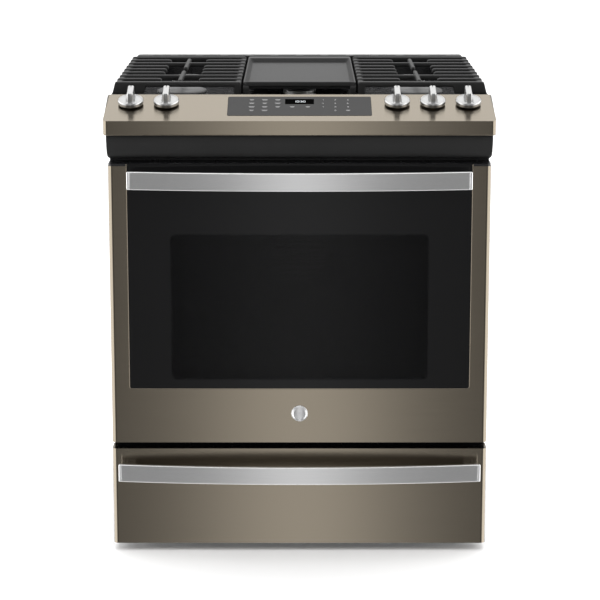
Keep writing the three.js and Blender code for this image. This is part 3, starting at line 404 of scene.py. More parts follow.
iron = Finish("cast_iron")
facing = iron.node("SeparateXYZ", inputs={0: iron.node("NewGeometry", output="Normal")}, output="Z")
# Faces that look up are painted greyer than the sides: a painted top light, not wear.
painted_top_light = facing.between(0.75, 1.0)
sand = iron.noise(420.0, 4.0)
pits = iron.noise(90.0, 2.0)
iron.colour(painted_top_light * (0.6 + 0.5 * pits), 0.011, 0.028)
iron.set(Roughness=0.5 + 0.16 * sand, Specular_IOR_Level=0.25)
iron.set(Normal=iron.relief(sand * 0.6 + pits * 0.4, 0.6 * MM))

cap_enamel = Finish("cap_enamel")
fleck = cap_enamel.noise(600.0, 2.0)
cap_enamel.colour(fleck, 0.05, 0.085)
cap_enamel.set(Roughness=0.42 + 0.12 * fleck, Normal=cap_enamel.relief(fleck, 0.1 * MM))

# %% [markdown]
# Inside and behind are workshop metals. Galvanised sheet shows its spangle: flat crystals of slightly
# different greys, which a Voronoi cell colour gives. Cast aluminium is dull and grainy, chromed rod is
# bright, and brass carries turning marks.

# %% Workshop metals
zinc = Finish("galvanised")
crystal = zinc.node("TexVoronoi", inputs={"Vector": zinc.place(), "Scale": 130.0}, output="Color")
spangle = zinc.node("SeparateColor", inputs={0: crystal}, output=0)
zinc.colour(spangle, (0.24, 0.25, 0.26), (0.33, 0.34, 0.35))
zinc.set(Metallic=1.0, Roughness=0.4 + 0.1 * spangle)

aluminium = Finish("aluminium")
grain = aluminium.noise(500.0, 3.0)
aluminium.colour(grain, (0.42, 0.42, 0.41), (0.58, 0.58, 0.57))
aluminium.set(Metallic=1.0, Roughness=0.42 + 0.14 * grain, Normal=aluminium.relief(grain, 0.1 * MM))

chrome = Finish("chrome_rod")
haze = chrome.noise(120.0, 2.0)
chrome.colour(haze, (0.72, 0.72, 0.73), (0.82, 0.82, 0.83))
chrome.set(Metallic=1.0, Roughness=0.1 + 0.12 * haze)

brass = Finish("brass")
turning = brass.noise(1.0, 2.0, at=(100, 100, 3000))
brass.colour(turning, (0.62, 0.43, 0.18), (0.78, 0.58, 0.27))
brass.set(Metallic=1.0, Roughness=0.24 + 0.12 * turning)
print("workshop metals:", ", ".join(f.material.name for f in (zinc, aluminium, chrome, brass)))

# %% [markdown]
# Two soft stuffs are left: glass wool round the oven, matted in all directions, and the woven rope of the
# door seal, where two slanting waves cross like the strands of a braid.

# %% Wool, braid and prints
wool = Finish("glass_wool")
matting = wool.noise(160.0, 6.0)
wool.colour(matting, (0.62, 0.52, 0.24), (0.86, 0.8, 0.55))
wool.set(Roughness=0.95, Normal=wool.relief(matting, 4 * MM))

braid = Finish("gasket_weave")
STRAND = 3 * MM
turn_rate = 2 * math.pi / STRAND
spot = braid.place()
run = braid.node("SeparateXYZ", inputs={0: spot}, output="X")
rise = braid.node("SeparateXYZ", inputs={0: spot}, output="Z")
strands = ((run + rise) * turn_rate).sine() * ((run - rise) * turn_rate).sine() * 0.5 + 0.5
braid.colour(strands, (0.07, 0.068, 0.064), (0.22, 0.21, 0.2))
braid.set(Roughness=0.9, Normal=braid.relief(strands, 0.8 * MM))

ink = Finish("pale_print")
ink.colour(ink.noise(2000.0), 0.26, 0.36)
ink.set(Roughness=0.6)

lit = Finish("clock_light")
lit_colour = lit.blend(lit.noise(500.0), (0.8, 0.9, 1), 1)
lit.set(Base_Color=opaque(0.05), Emission_Color=lit_colour, Emission_Strength=1.0, Roughness=0.4)

screen = Finish("clock_window")
screen.colour(screen.noise(60.0), 0.001, 0.002)
screen.set(Roughness=0.25, Specular_IOR_Level=0.0)
print("finishes:", len(bpy.data.materials))

# %% [markdown]
# ## Building meshes
# Nearly every piece here is a stack of rings: closed outlines with the same number of points, skinned one
# to the next and capped at both ends. `skin` does that. An outline is made once by `rounded`, a rectangle
# with round corners, and each ring of a stack can be a little smaller than the last, which rounds an edge.


# %% Rings and skins
def arc(centre_u, centre_v, radius, start, end, steps):
    """Points on an arc from one angle to another, in degrees."""
    angles = [math.radians(start + (end - start) * i / steps) for i in range(steps + 1)]
    return [(centre_u + radius * math.cos(a), centre_v + radius * math.sin(a)) for a in angles]


def rounded(u_span, v_span, radius, steps=6, inset=0.0):
    """A rectangle with round corners, made smaller by inset on every side."""
    (u0, u1), (v0, v1) = u_span, v_span
    u0, u1, v0, v1 = u0 + inset, u1 - inset, v0 + inset, v1 - inset
    radius = max(radius - inset, 0.2 * MM)
    return [
        *arc(u1 - radius, v1 - radius, radius, 0, 90, steps),
        *arc(u0 + radius, v1 - radius, radius, 90, 180, steps),
        *arc(u0 + radius, v0 + radius, radius, 180, 270, steps),
        *arc(u1 - radius, v0 + radius, radius, 270, 360, steps),
    ]


def skin(form, rings, capped=True, looped=False):
    """Joins closed rings of points with quads, with a cap on the first and last, or round in a loop."""
    rows = [[form.verts.new(point) for point in ring] for ring in rings]
    pairs = list(zip(rows, rows[1:])) + ([(rows[-1], rows[0])] if looped else [])
    for near, far in pairs:
        for i, corner in enumerate(near):
            j = (i + 1) % len(near)
            form.faces.new((corner, near[j], far[j], far[i]))
    if capped and not looped:
        form.faces.new(rows[0][::-1])
        form.faces.new(rows[-1])
    return rows


def upright(form, x_span, y_span, radius, levels, steps=4):
    """A block that stands on Z; levels are pairs of height and inset, from the bottom up."""
    rings = [[(u, v, z) for u, v in rounded(x_span, y_span, radius, steps, inset)] for z, inset in levels]
    return skin(form, rings)


def new_piece(name, build, merge=0.000001):
    """An object with the mesh that build makes in the bmesh it is given."""
    form = bmesh.new()
    build(form)
    bmesh.ops.remove_doubles(form, verts=form.verts, dist=merge)
    bmesh.ops.recalc_face_normals(form, faces=form.faces)
    mesh = bpy.data.meshes.new(name)
    form.to_mesh(mesh)
    form.free()
    piece = bpy.data.objects.new(name, mesh)
    bpy.context.scene.collection.objects.link(piece)
    return piece


def thicken(piece, thickness):
    """Gives a bare surface its sheet thickness, inwards."""
    sheet = piece.modifiers.new("sheet", "SOLIDIFY")
    sheet.thickness = thickness
    sheet.offset = -1
    return sheet


def apply_modifiers(piece):
    """Keeps the shape that the modifiers give and drops them."""
    seen_now = bpy.context.evaluated_depsgraph_get()
    shaped = bpy.data.meshes.new_from_object(piece.evaluated_get(seen_now))
    piece.modifiers.clear()
    piece.data = shaped
    return piece


# %% [markdown]
# Real edges are never sharp, and the thin line of light on a rounded edge is what makes sheet metal look
# like sheet metal. `ease` rounds every edge that is sharper than an angle and then weights the shading
# towards the large faces, so that flat faces stay flat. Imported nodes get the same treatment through
# modifiers, which leave their own vertices as they are; they are welded first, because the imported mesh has
# its corners split.


# %% Rounded edges
def round_edges(piece, width, segments=3, angle=35):
    bevel = piece.modifiers.new("rounded_edges", "BEVEL")
    bevel.width = width
    bevel.segments = segments
    bevel.limit_method = "ANGLE"
    bevel.angle_limit = math.radians(angle)
    bevel.use_clamp_overlap = True


def ease(piece, width, segments=3, angle=35):
    round_edges(piece, width, segments, angle)
    shade(piece)


def shade(piece):
    for face in piece.data.polygons:
        face.use_smooth = True
    weights = piece.modifiers.new("flat_faces_stay_flat", "WEIGHTED_NORMAL")
    weights.keep_sharp = False
    weights.weight = 90


def dress(piece, body, slot_name, finish, *nodes):
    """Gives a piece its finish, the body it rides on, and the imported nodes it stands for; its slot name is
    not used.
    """
    piece.data.materials.clear()
    piece.data.materials.append(finish.material)
    if finish in (slate, strap):
        brushed_along_x(piece)
    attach(piece, body)
    if nodes:
        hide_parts(*nodes)
    return piece


def finish_node(name, finish, width=0.4 * MM, angle=50):
    """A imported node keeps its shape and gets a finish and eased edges."""
    node = frame["nodes"][name]
    if "custom_normal" in node.data.attributes:
        node.data.attributes.remove(node.data.attributes["custom_normal"])
    for mark in ("sharp_edge", "sharp_face"):
        if mark in node.data.attributes:
            node.data.attributes.remove(node.data.attributes[mark])
    weld = node.modifiers.new("weld_corners", "WELD")
    weld.merge_threshold = 0.00001
    ease(node, width, 2, angle)
    for socket in node.material_slots:
        socket.material = finish.material


def carve(piece, build):
    """Cuts the closed shapes that build makes out of a piece."""
    cutter = new_piece(piece.name + "_cutter", build)
    cut = piece.modifiers.new("cut", "BOOLEAN")
    cut.operation = "DIFFERENCE"
    cut.solver = "EXACT"
    cut.use_self = True
    cut.object = cutter
    cutter.hide_render = True
    apply_modifiers(piece)
    bpy.data.objects.remove(cutter)
    return piece


# %% [markdown]
# ## Sheet fronts
# The door skin and the drawer front are one kind of part: a sheet folded back over round upright corners.
# Seen from above it is one long path, so the wall is a strip along that path. The middle stretch of the
# strip is one flat face, which for the door has the glass opening cut out as a notch with two small round
# corners. A hem is turned in along the lower edge, and on the drawer along the upper one too, and the sheet
# then gets its thickness.


# %% Folded sheet fronts
SHEET = 1.5 * MM
HEM = 10 * MM
CLEARANCE = 0.4 * MM
DOOR_CORNER = 10 * MM
GLASS_CORNER = 6 * MM


def folded_path(low, high, radius, inset=0.0):
    """Plan of the folded sheet, from the right rear round the front to the left rear."""
    right = arc(high.x - radius, low.y + radius, radius - inset, 0, -90, 10)
    left = arc(low.x + radius, low.y + radius, radius - inset, -90, -180, 10)
    return [(high.x - inset, high.y), *right, *left, (low.x + inset, high.y)]


def notch(span, sill, top, radius):
    """The glass opening's edge, down one side and up the other."""
    x0, x1 = span
    down = arc(x1 - radius, sill + radius, radius, 0, -90, 6)
    up = arc(x0 + radius, sill + radius, radius, -90, -180, 6)
    return [(x1, top), *down, *up, (x0, top)]


def folded_front(name, low, high, radius, opening=None, top_hem=True):
    def build(form):
        path = folded_path(low, high, radius)
        inner = folded_path(low, high, radius, HEM * 0.9)
        foot = [form.verts.new((x, y, low.z)) for x, y in path]
        head = [form.verts.new((x, y, high.z)) for x, y in path]
        front = len(path) // 2 - 1
        for i in range(len(path) - 1):
            corners = [foot[i], foot[i + 1], head[i + 1], head[i]]
            if i == front and opening:
                cut = notch(*opening, high.z, GLASS_CORNER)
                edge = [form.verts.new((x, low.y, z)) for x, z in cut]
                corners = [foot[i], foot[i + 1], head[i + 1], *edge[::-1], head[i]]
            form.faces.new(corners)
        for wanted, wall, z in ((True, foot, low.z), (top_hem, head, high.z)):
            if wanted:
                turned = [form.verts.new((x, max(y, low.y + HEM), z)) for x, y in inner]
                for i in range(len(path) - 1):
                    form.faces.new((wall[i], wall[i + 1], turned[i + 1], turned[i]))

    piece = new_piece(name, build)
    thicken(piece, SHEET).use_even_offset = True
    ease(piece, 0.7 * MM, 3, 40)
    return piece


glass_low, glass_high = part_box("door_glass")
opening = ((glass_low.x - CLEARANCE, glass_high.x + CLEARANCE), glass_low.z - CLEARANCE)
door_skin = folded_front("door_skin_sheet", door_low, door_high, DOOR_CORNER, opening, top_hem=False)
dress(door_skin, "oven_door", "slate_steel", slate, "door_skin")

drawer_low, drawer_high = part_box("drawer_front")
drawer_sheet = folded_front("drawer_front_sheet", drawer_low, drawer_high, DOOR_CORNER)
dress(drawer_sheet, "storage_drawer", "slate_steel", slate, "drawer_front")
print("door:", door_high - door_low)


# %% Door glass pane
def pane(low, high, radius, edge):
    """An upright pane with round lower corners and a ground edge."""

    def build(form):
        def ring(y, inset):
            sides = rounded((low.x, high.x), (low.z, high.z + radius), radius, 6, inset)
            return [(x, y, min(z, high.z - inset)) for x, z in sides]

        steps = [(low.y, edge), (low.y + edge, 0), (high.y - edge, 0), (high.y, edge)]
        skin(form, [ring(y, inset) for y, inset in steps])

    return build


door_pane = new_piece("door_glass_pane", pane(glass_low, glass_high, GLASS_CORNER, 0.8 * MM))
shade(door_pane)
dress(door_pane, "oven_door", "black_glass", glass, "door_glass")
print("pane:", glass_high - glass_low)

# %% [markdown]
# The cut edge of the opening is turned over in a small bright bead that frames the glass. It is a rounded
# strip swept down one side, along the sill and up the other.


# %% Glass bead
BEAD = 1.6 * MM


def glass_bead(form):
    span, sill = opening
    inner = (span[0] + BEAD, span[1] - BEAD)
    outer_edge = notch(span, sill, glass_high.z, GLASS_CORNER)
    inner_edge = notch(inner, sill + BEAD, glass_high.z, GLASS_CORNER - BEAD)
    front, back = door_low.y + 0.05 * MM, glass_low.y - 0.05 * MM
    rings = []
    for (x0, z0), (x1, z1) in zip(outer_edge, inner_edge):
        section = [(0, back), (0, front + 0.35 * MM), (0.2, front + 0.1 * MM), (0.5, front),
                   (0.75, front + 0.12 * MM), (1, front + 0.5 * MM), (1, back)]
        rings.append([(x0 + (x1 - x0) * share, y, z0 + (z1 - z0) * share) for share, y in section])
    skin(form, rings)


bead = new_piece("door_glass_bead", glass_bead, 0.0)
shade(bead)
dress(bead, "oven_door", "slate_steel", slate)
print("bead:", len(bead.data.polygons), "faces")

# %% [markdown]
# ## Bowed handles
# Each handle is a flat strap, bowed so that its middle stands furthest out, on two short posts. The strap
# is a rounded section swept along an arc. Its ends close with a small radius, and a fine groove just
# inside each end is the seam of the end cap.


# %% Strap handles
STRAP = 9 * MM
BOW = 21 * MM
POST = 22 * MM
BOW_STEPS = 56


def strap_handle(name, node):
    low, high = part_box(node)
    half = (high.x - low.x) / 2
    radius = (half**2 + BOW**2) / (2 * BOW)
    swing = math.asin(half / radius)
    centre = low.y + radius

    def ring(angle, inset):
        section = rounded((radius - STRAP, radius), (low.z, high.z), 2.4 * MM, 4, inset)
        return [(reach * math.sin(angle), centre - reach * math.cos(angle), z) for reach, z in section]

    def build(form):
        ends = [(0, 1.5), (0.4, 0.6), (1.4, 0), (4.2, 0), (4.4, 0.5), (5.0, 0.5), (5.2, 0), (8, 0)]
        tips = [(swing - along * MM / radius, inset * MM) for along, inset in ends]
        inside = tips[-1][0]
        middle = [(inside * (1 - 2 * i / BOW_STEPS), 0.0) for i in range(1, BOW_STEPS)]
        stations = tips + middle + [(-angle, inset) for angle, inset in tips[::-1]]
        skin(form, [ring(angle, inset) for angle, inset in stations])
        for side in (-1, 1):
            x = side * (half - POST)
            depth = centre - math.sqrt((radius - STRAP / 2) ** 2 - x**2)
            levels = [(depth, 2.0), (depth + 8 * MM, 2.0), (high.y - 7 * MM, 1.2),
                      (high.y - 1.5 * MM, 0), (high.y, 0.4)]
            post_x = (x - POST / 2, x + POST / 2)
            post_z = (low.z + POST / 2, high.z - POST / 2)
            rings = []
            for y, inset in levels:
                rings.append([(u, y, v) for u, v in rounded(post_x, post_z, 4 * MM, 5, inset * MM)])
            skin(form, rings)

    piece = new_piece(name, build)
    shade(piece)
    return piece


for node, body in (("door_handle", "oven_door"), ("drawer_handle", "storage_drawer")):
    handle = strap_handle(node + "_strap", node)
    dress(handle, body, "brushed_steel", strap, node)
    print(handle.name, len(handle.data.polygons), "faces")

# %% [markdown]
# ## Turned pieces
# Knob skirts, burner parts, screws and the badge are turned. `turn` revolves a profile of radius and
# height. A wave can be cut into chosen rings, which gives a burner head its flame ports.


# %% Turning
PORT_DEPTH = 1.6 * MM


def turn(form, profile, segments=64, centre=(0, 0, 0), ports=()):
    """Revolves (radius, height) pairs about Z; rings named in ports are notched, one segment in three."""
    rings = []
    for row, (radius, height) in enumerate(profile):
        ring = []
        for i in range(segments):
            angle = 2 * math.pi * i / segments
            reach = max(radius, 0.05 * MM) - (PORT_DEPTH if row in ports and i % 3 == 0 else 0)
            x, y = reach * math.cos(angle), reach * math.sin(angle)
            ring.append((centre[0] + x, centre[1] + y, centre[2] + height))
        rings.append(ring)
    return skin(form, rings)


def turn_at(form, profile, segments, matrix):
    """Turns a profile and then moves it by a matrix."""
    turned = [vertex for ring in turn(form, profile, segments) for vertex in ring]
    bmesh.ops.transform(form, matrix=matrix, verts=turned)


def millimetres(pairs):
    return [(a * MM, b * MM) for a, b in pairs]


# %% [markdown]
# ## Knobs
# A knob is a polished disc, dished on top and chamfered round the rim, with a tall blade across it. The
# blade is wide at the foot and narrow at its ridge, and a short groove in the ridge shows where it points.
# The knob is made about its own axis, tilted square to the sloping panel, and set where the valve's joint is.


# %% Knobs
def knob(name, axis, origin):
    def build(form):
        skirt = [(0, 3), (24.2, 3), (25.2, 3.6), (25.5, 4.6), (25.5, 9.4), (25.3, 10.0), (24.0, 11.7),
                 (23.4, 12), (22.6, 11.9), (21.6, 11.0), (20.6, 10.6), (12, 9.9), (0, 9.8)]
        turn(form, millimetres(skirt), 96)
        blade = [(9.6, -1.2), (11.5, -0.3), (14, 0.2), (27.5, 0.5), (29.6, 0.9), (30.6, 1.6), (31, 2.6)]
        upright(form, (-7 * MM, 7 * MM), (-17 * MM, 25 * MM), 4.5 * MM, millimetres(blade), 6)

    def groove(form):
        levels = [(28.6 * MM, 0), (34 * MM, 0)]
        upright(form, (-0.9 * MM, 0.9 * MM), (14 * MM, 30 * MM), 0.4 * MM, levels, 2)

    piece = carve(new_piece(name, build, 0.0), groove)
    shade(piece)
    piece.data.transform(Vector((0, 0, 1)).rotation_difference(axis).to_matrix().to_4x4())
    piece.location = origin
    return piece


for joint in frame["joints"]:
    if joint["name"].startswith("valve_turn_"):
        place = joint["name"].removeprefix("valve_turn_")
        piece = knob("polished_knob_" + place, Vector(joint["axis"]), joint["pos_m"])
        dress(piece, "knob_" + place, "knob_metal", knob_metal, "knob_" + place)
        finish_node("spindle_" + place, brass)
SLOPE = Vector((0, 0, 1)).angle(Vector(knob_axis))
print("panel slope:", round(math.degrees(SLOPE), 2), "degrees")

# %% [markdown]
# ## Control panel
# The control panel is one pressing: a low upright face, a round nose, and a top that slopes up to the
# cooktop. Its plan has round front corners. The block is skinned from two rings, the upper one lying on the
# slope. The upper edge is rounded in one go, so that the nose runs on round both corners, and so is the lower
# lip. The bottom and back are then opened, apart from a hem, and the rest becomes a shell. Its flats are
# shaded flat, because the narrow shine of brushed steel shows the smallest bend in a normal.


# %% Control panel
panel_low, panel_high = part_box("control_panel")
PANEL_CORNER = 9 * MM
PANEL_SHEET = 1.2 * MM
NOSE = 4.4 * MM
LIP = 2.2 * MM
FACES_ALONG = 0.9999


def on_slope(y):
    return panel_high.z - (panel_high.y - y) * math.tan(SLOPE)


def panel_shell(form):
    path = folded_path(panel_low, panel_high, PANEL_CORNER)
    rings = [[(x, y, panel_low.z) for x, y in path], [(x, y, on_slope(y)) for x, y in path]]
    foot, head = skin(form, rings)
    rear = (foot[0], foot[-1], head[0], head[-1])

    def edges_of(ring):
        """The ring's edges at the front and sides, without the one across the back."""
        within = [e for e in form.edges if all(v in ring for v in e.verts)]
        return [e for e in within if not all(v in rear for v in e.verts)]

    upper, lower = edges_of(head), edges_of(foot)
    bmesh.ops.bevel(form, geom=upper, offset=NOSE, segments=7, profile=0.5, affect="EDGES")
    bmesh.ops.bevel(form, geom=lower, offset=LIP, segments=5, profile=0.5, affect="EDGES")
    bmesh.ops.recalc_face_normals(form, faces=form.faces)
    under = [f for f in form.faces if f.normal.z < -0.9]
    back = [f for f in form.faces if f.normal.y > 0.9 and f.calc_area() > 0.001]
    for faces in (under, back):
        bmesh.ops.inset_region(form, faces=faces, thickness=HEM, use_boundary=True)
        bmesh.ops.delete(form, geom=faces, context="FACES")


panel = new_piece("control_panel_pressing", panel_shell)
thicken(panel, PANEL_SHEET)
apply_modifiers(panel)

touch_low, touch_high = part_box("touch_panel")
touch_middle = (touch_low + touch_high) / 2
tilt = Matrix.Rotation(SLOPE, 4, "X")
touch_half = (touch_high.x - touch_low.x) / 2
TOUCH_LENGTH = 86.5 * MM
touch_place = Matrix.Translation((0, touch_middle.y, on_slope(touch_middle.y))) @ tilt


def panel_openings(form):
    half_x, half_y = touch_half + CLEARANCE, TOUCH_LENGTH / 2 + CLEARANCE
    upright(form, (-half_x, half_x), (-half_y, half_y), 3 * MM, [(-12 * MM, 0), (8 * MM, 0)])
    bmesh.ops.transform(form, matrix=touch_place, verts=form.verts)
    for valve in frame["joints"]:
        if valve["name"].startswith("valve_turn_"):
            seat = Matrix.Translation(Vector(valve["pos_m"])) @ tilt
            turn_at(form, millimetres([(5, -8), (5, 8)]), 24, seat)


carve(panel, panel_openings)
round_edges(panel, 0.5 * MM, 2, 50)
apply_modifiers(panel)
FLATS = [Vector((1, 0, 0)), Vector((0, 1, 0)), Vector((0, 0, 1)), Vector(knob_axis)]
for face in panel.data.polygons:
    face.use_smooth = not any(abs(face.normal.dot(flat)) > FACES_ALONG for flat in FLATS)
dress(panel, "chassis", "slate_steel", slate, "control_panel")
print("control panel:", len(panel.data.vertices), "vertices")

# %% [markdown]
# ## Touch panel
# The keys are flat prints on a satin film, so the panel is one thin slab with ground edges. Its marks are
# generic: short dashes where the key legends are, and plain seven-segment digits for the number keys and
# the clock. They stand a tenth of a millimetre proud, like a thick screen print.

# %% Touch slab and clock window
TOUCH_FACE = 0.6 * MM
PRINT = 0.1 * MM


def on_touch(name, build, finish):
    """A piece made in the panel's own plane, X across and Y up the slope, then laid on it."""
    piece = new_piece(name, build, 0.0)
    piece.data.transform(touch_place)
    return dress(piece, "chassis", "touch_glass", finish)


def slab(x_span, y_span, radius, levels):
    return lambda form: upright(form, x_span, y_span, radius, levels)


touch_levels = [(TOUCH_FACE - 3 * MM, 0), (TOUCH_FACE - 0.5 * MM, 0),
                (TOUCH_FACE - 0.1 * MM, 0.2 * MM), (TOUCH_FACE, 0.6 * MM)]
touch_span = (-TOUCH_LENGTH / 2, TOUCH_LENGTH / 2)
touch_form = slab((-touch_half, touch_half), touch_span, 2.5 * MM, touch_levels)
touch_slab = on_touch("touch_panel_slab", touch_form, touch)
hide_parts("touch_panel")
shade(touch_slab)

CLOCK_HALF = 29 * MM
CLOCK_SPAN = (8 * MM, 32 * MM)
clock_levels = [(TOUCH_FACE - PRINT, 0), (TOUCH_FACE + 0.3 * PRINT, 0)]
on_touch("clock_window", slab((-CLOCK_HALF, CLOCK_HALF), CLOCK_SPAN, 1.0 * MM, clock_levels), screen)
print("touch panel:", touch_high - touch_low)

# %% Digits and legends
SEGMENTS = {"0": "abcdef", "1": "bc", "2": "abdeg", "3": "abcdg", "4": "bcfg",
            "5": "acdfg", "6": "acdefg", "7": "abc", "8": "abcdefg", "9": "abcdfg"}
CLOCK_HEIGHT = 7.5 * MM
KEY_HEIGHT = 5 * MM


def digit(form, character, x, y, height, face):
    """A seven-segment digit centred at x, y."""
    width, stroke = height * 0.5, height * 0.13
    bars = {"a": (0, 0.5, True), "g": (0, 0, True), "d": (0, -0.5, True), "f": (-0.5, 0.25, False),
            "b": (0.5, 0.25, False), "e": (-0.5, -0.25, False), "c": (0.5, -0.25, False)}
    for segment in SEGMENTS[character]:
        u, v, level = bars[segment]
        middle_x, middle_y = x + u * width, y + v * (height - stroke)
        half_x = (width - stroke) / 2 if level else stroke / 2
        half_y = stroke / 2 if level else (height / 2 - stroke) / 2
        span_x = (middle_x - half_x, middle_x + half_x)
        span_y = (middle_y - half_y, middle_y + half_y)
        upright(form, span_x, span_y, stroke * 0.3, [(face - PRINT, 0), (face + PRINT, 0)], 2)


def clock_digits(form):
    middle = sum(CLOCK_SPAN) / 2
    for place, character in ((-9.5, "1"), (-3.6, "0"), (3.6, "3"), (9.5, "0")):
        digit(form, character, place * MM, middle, CLOCK_HEIGHT, TOUCH_FACE + PRINT)
    levels = [(TOUCH_FACE, 0), (TOUCH_FACE + 2 * PRINT, 0)]
    for rise in (-1.8 * MM, 1.8 * MM):
        dot = (middle + rise - 0.6 * MM, middle + rise + 0.6 * MM)
        upright(form, (-0.6 * MM, 0.6 * MM), dot, 0.4 * MM, levels, 3)


ROWS = [28 * MM, 12 * MM, -4.5 * MM, -20.5 * MM]
LEGEND_COLUMNS = [-95.5 * MM, -69.5 * MM, -43.5 * MM]
NUMBER_COLUMNS = [46.5 * MM, 71.5 * MM, 96.5 * MM]


def dashes(form, x, y, rise, upper, lower):
    """Two short lines of print, the upper and the lower one given by half its length."""
    levels = [(TOUCH_FACE - PRINT, 0), (TOUCH_FACE + PRINT, 0)]
    for row, half in ((y + rise * MM, upper * MM), (y - rise * MM, lower * MM)):
        upright(form, (x - half, x + half), (row - 0.55 * MM, row + 0.55 * MM), 0.4 * MM, levels, 2)


def legends(form):
    for row, y in enumerate(ROWS):
        for column, x in enumerate(LEGEND_COLUMNS):
            if (row, column) == (3, 2):
                continue
            longer = 4.6 + 0.7 * ((row + 2 * column) % 3)
            dashes(form, x, y, 1.6, longer, longer - 1.4)
        for column, x in enumerate(NUMBER_COLUMNS):
            if row < 3:
                digit(form, str(3 * row + column + 1), x, y, KEY_HEIGHT, TOUCH_FACE)
    digit(form, "0", NUMBER_COLUMNS[1], ROWS[3], KEY_HEIGHT, TOUCH_FACE)
    for x, y in ((-14.5 * MM, ROWS[2]), (16.5 * MM, ROWS[2]), (NUMBER_COLUMNS[2], ROWS[3])):
        dashes(form, x, y, 1.4, 4.5, 3.2)


on_touch("clock_digits", clock_digits, lit)
on_touch("key_legends", legends, ink)

# %% [markdown]
# ## Manifold panel
# The black panel under the controls hides the gas manifold. Its face curves in softly, and its lower corners
# are round. The section, drawn with two short curves, is swept along X, and over the last few millimetres
# the sweep lifts its lower edge along a quarter circle.


# %% Manifold panel
def curve(start, pull, end, steps):
    """A quadratic curve from start to end that leans towards pull."""
    points = []
    for i in range(steps + 1):
        t = i / steps
        parts = (((1 - t) ** 2, start), (2 * t * (1 - t), pull), (t * t, end))
        points.append(tuple(sum(share * point[k] for share, point in parts) for k in (0, 1)))
    return points


manifold_low, manifold_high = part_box("manifold_panel")
MANIFOLD_CORNER = 7 * MM
TAPER = 2 * MM


def manifold_section():
    """(y, z) of the section at the middle of the panel, from its top rear corner round the front."""
    face, top, bottom = door_low.y, manifold_high.z, manifold_low.z
    bulge = (face + 8 * MM, (top + bottom) / 2 + 10 * MM)
    shoulder = (face + 10 * MM, bottom + 14 * MM)
    front = curve((face + 14 * MM, top), bulge, shoulder, 10)
    lower = curve(shoulder, (face + 11 * MM, bottom), (face + 24 * MM, bottom), 10)
    return [*front, *lower[1:], (manifold_high.y, bottom), (manifold_high.y, top)]


def manifold_block(form):
    section = manifold_section()
    height = manifold_high.z - manifold_low.z
    rings = []
    ends = [MANIFOLD_CORNER * (1 - math.cos(math.radians(a))) for a in range(0, 91, 10)]
    stations = [-1 + e / manifold_high.x for e in ends] + [1 - e / manifold_high.x for e in ends[::-1]]
    for share in stations:
        inward = (1 - abs(share)) * manifold_high.x
        short = max(MANIFOLD_CORNER - inward, 0)
        lift = MANIFOLD_CORNER - math.sqrt(max(MANIFOLD_CORNER**2 - short**2, 0))
        squeeze = 1 - lift / height
        ring = []
        for y, z in section:
            drop = (manifold_high.z - z) * squeeze
            x = share * (manifold_high.x - TAPER * drop / height)
            ring.append((x, y, manifold_high.z - drop))
        rings.append(ring)
    skin(form, rings)


manifold = new_piece("manifold_cover_panel", manifold_block)
ease(manifold, 0.8 * MM, 3, 40)
dress(manifold, "chassis", "black_paint", paint, "manifold_panel")
print("manifold panel:", len(manifold.data.polygons), "faces")

# %% [markdown]
# ## Cooktop
# The cooktop is one deep pressing in black enamel: a skirt, a rim, and a sunken well that holds spills. It
# is a stack of rounded rectangles that goes up the skirt, over the rim and down into the well, with extra
# rings where the sheet bends. The thickness goes on after that, and the burner throats are punched out.


# %% Cooktop pressing
cooktop_low, cooktop_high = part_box("cooktop")
grate_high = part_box("left_grate")[1]
RIM = 18 * MM
WELL = 26 * MM
THROAT = 21 * MM
well_floor = cooktop_high.z - WELL
well_y = (cooktop_low.y + RIM, grate_high.y + 4 * MM)
well_x = cooktop_high.x - RIM
BURNERS = ("left_front", "left_rear", "right_front", "right_rear", "center")


def middle_of(node):
    low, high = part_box(node)
    return (low + high) / 2


def cooktop_sheet(form):
    top, edge = cooktop_high.z, 2.5 * MM
    x_outer, y_outer = (cooktop_low.x, cooktop_high.x), (cooktop_low.y, cooktop_high.y)
    outer = [(cooktop_low.z + 3.5 * MM, 0), (top - edge, 0)]
    for turned in (0.4, 0.8, 1.2, math.pi / 2):
        outer.append((top - edge * (1 - math.sin(turned)), edge * (1 - math.cos(turned))))
    rings = [[(u, v, z) for u, v in rounded(x_outer, y_outer, 6 * MM, 6, inset)] for z, inset in outer]
    inner = [(top, -2.5), (top - 0.3 * MM, -1.2), (top - 1.2 * MM, -0.3), (top - 2.5 * MM, 0),
             (well_floor + 7 * MM, 2.5), (well_floor + 3 * MM, 3.6), (well_floor + 0.8 * MM, 6),
             (well_floor, 9)]
    for z, inset in inner:
        corners = rounded((-well_x, well_x), well_y, 22 * MM, 6, inset * MM)
        rings.append([(u, v, z) for u, v in corners])
    rows = skin(form, rings, capped=False)
    form.faces.new(rows[-1])


def throats(form):
    for name in BURNERS:
        middle = middle_of("burner_head_" + name)
        turn(form, [(THROAT, -9 * MM), (THROAT, 9 * MM)], 48, (middle.x, middle.y, well_floor))


cooktop = new_piece("cooktop_pressing", cooktop_sheet)
thicken(cooktop, SHEET)
apply_modifiers(cooktop)
carve(cooktop, throats)
shade(cooktop)
dress(cooktop, "chassis", "black_enamel", enamel, "cooktop")
print("cooktop:", len(cooktop.data.polygons), "faces, well", round(WELL / MM), "mm deep")

# %% [markdown]
# ## Rear vent trim
# A low black box closes the back of the cooktop and lets the oven's hot air out through a row of slots. Its
# upper corners are round. It is drawn as an outline in the XZ plane and pushed back along Y.


# %% Rear vent trim
trim_low, trim_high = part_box("rear_vent_trim")
TRIM_CORNER = 8 * MM
SLOTS = 12


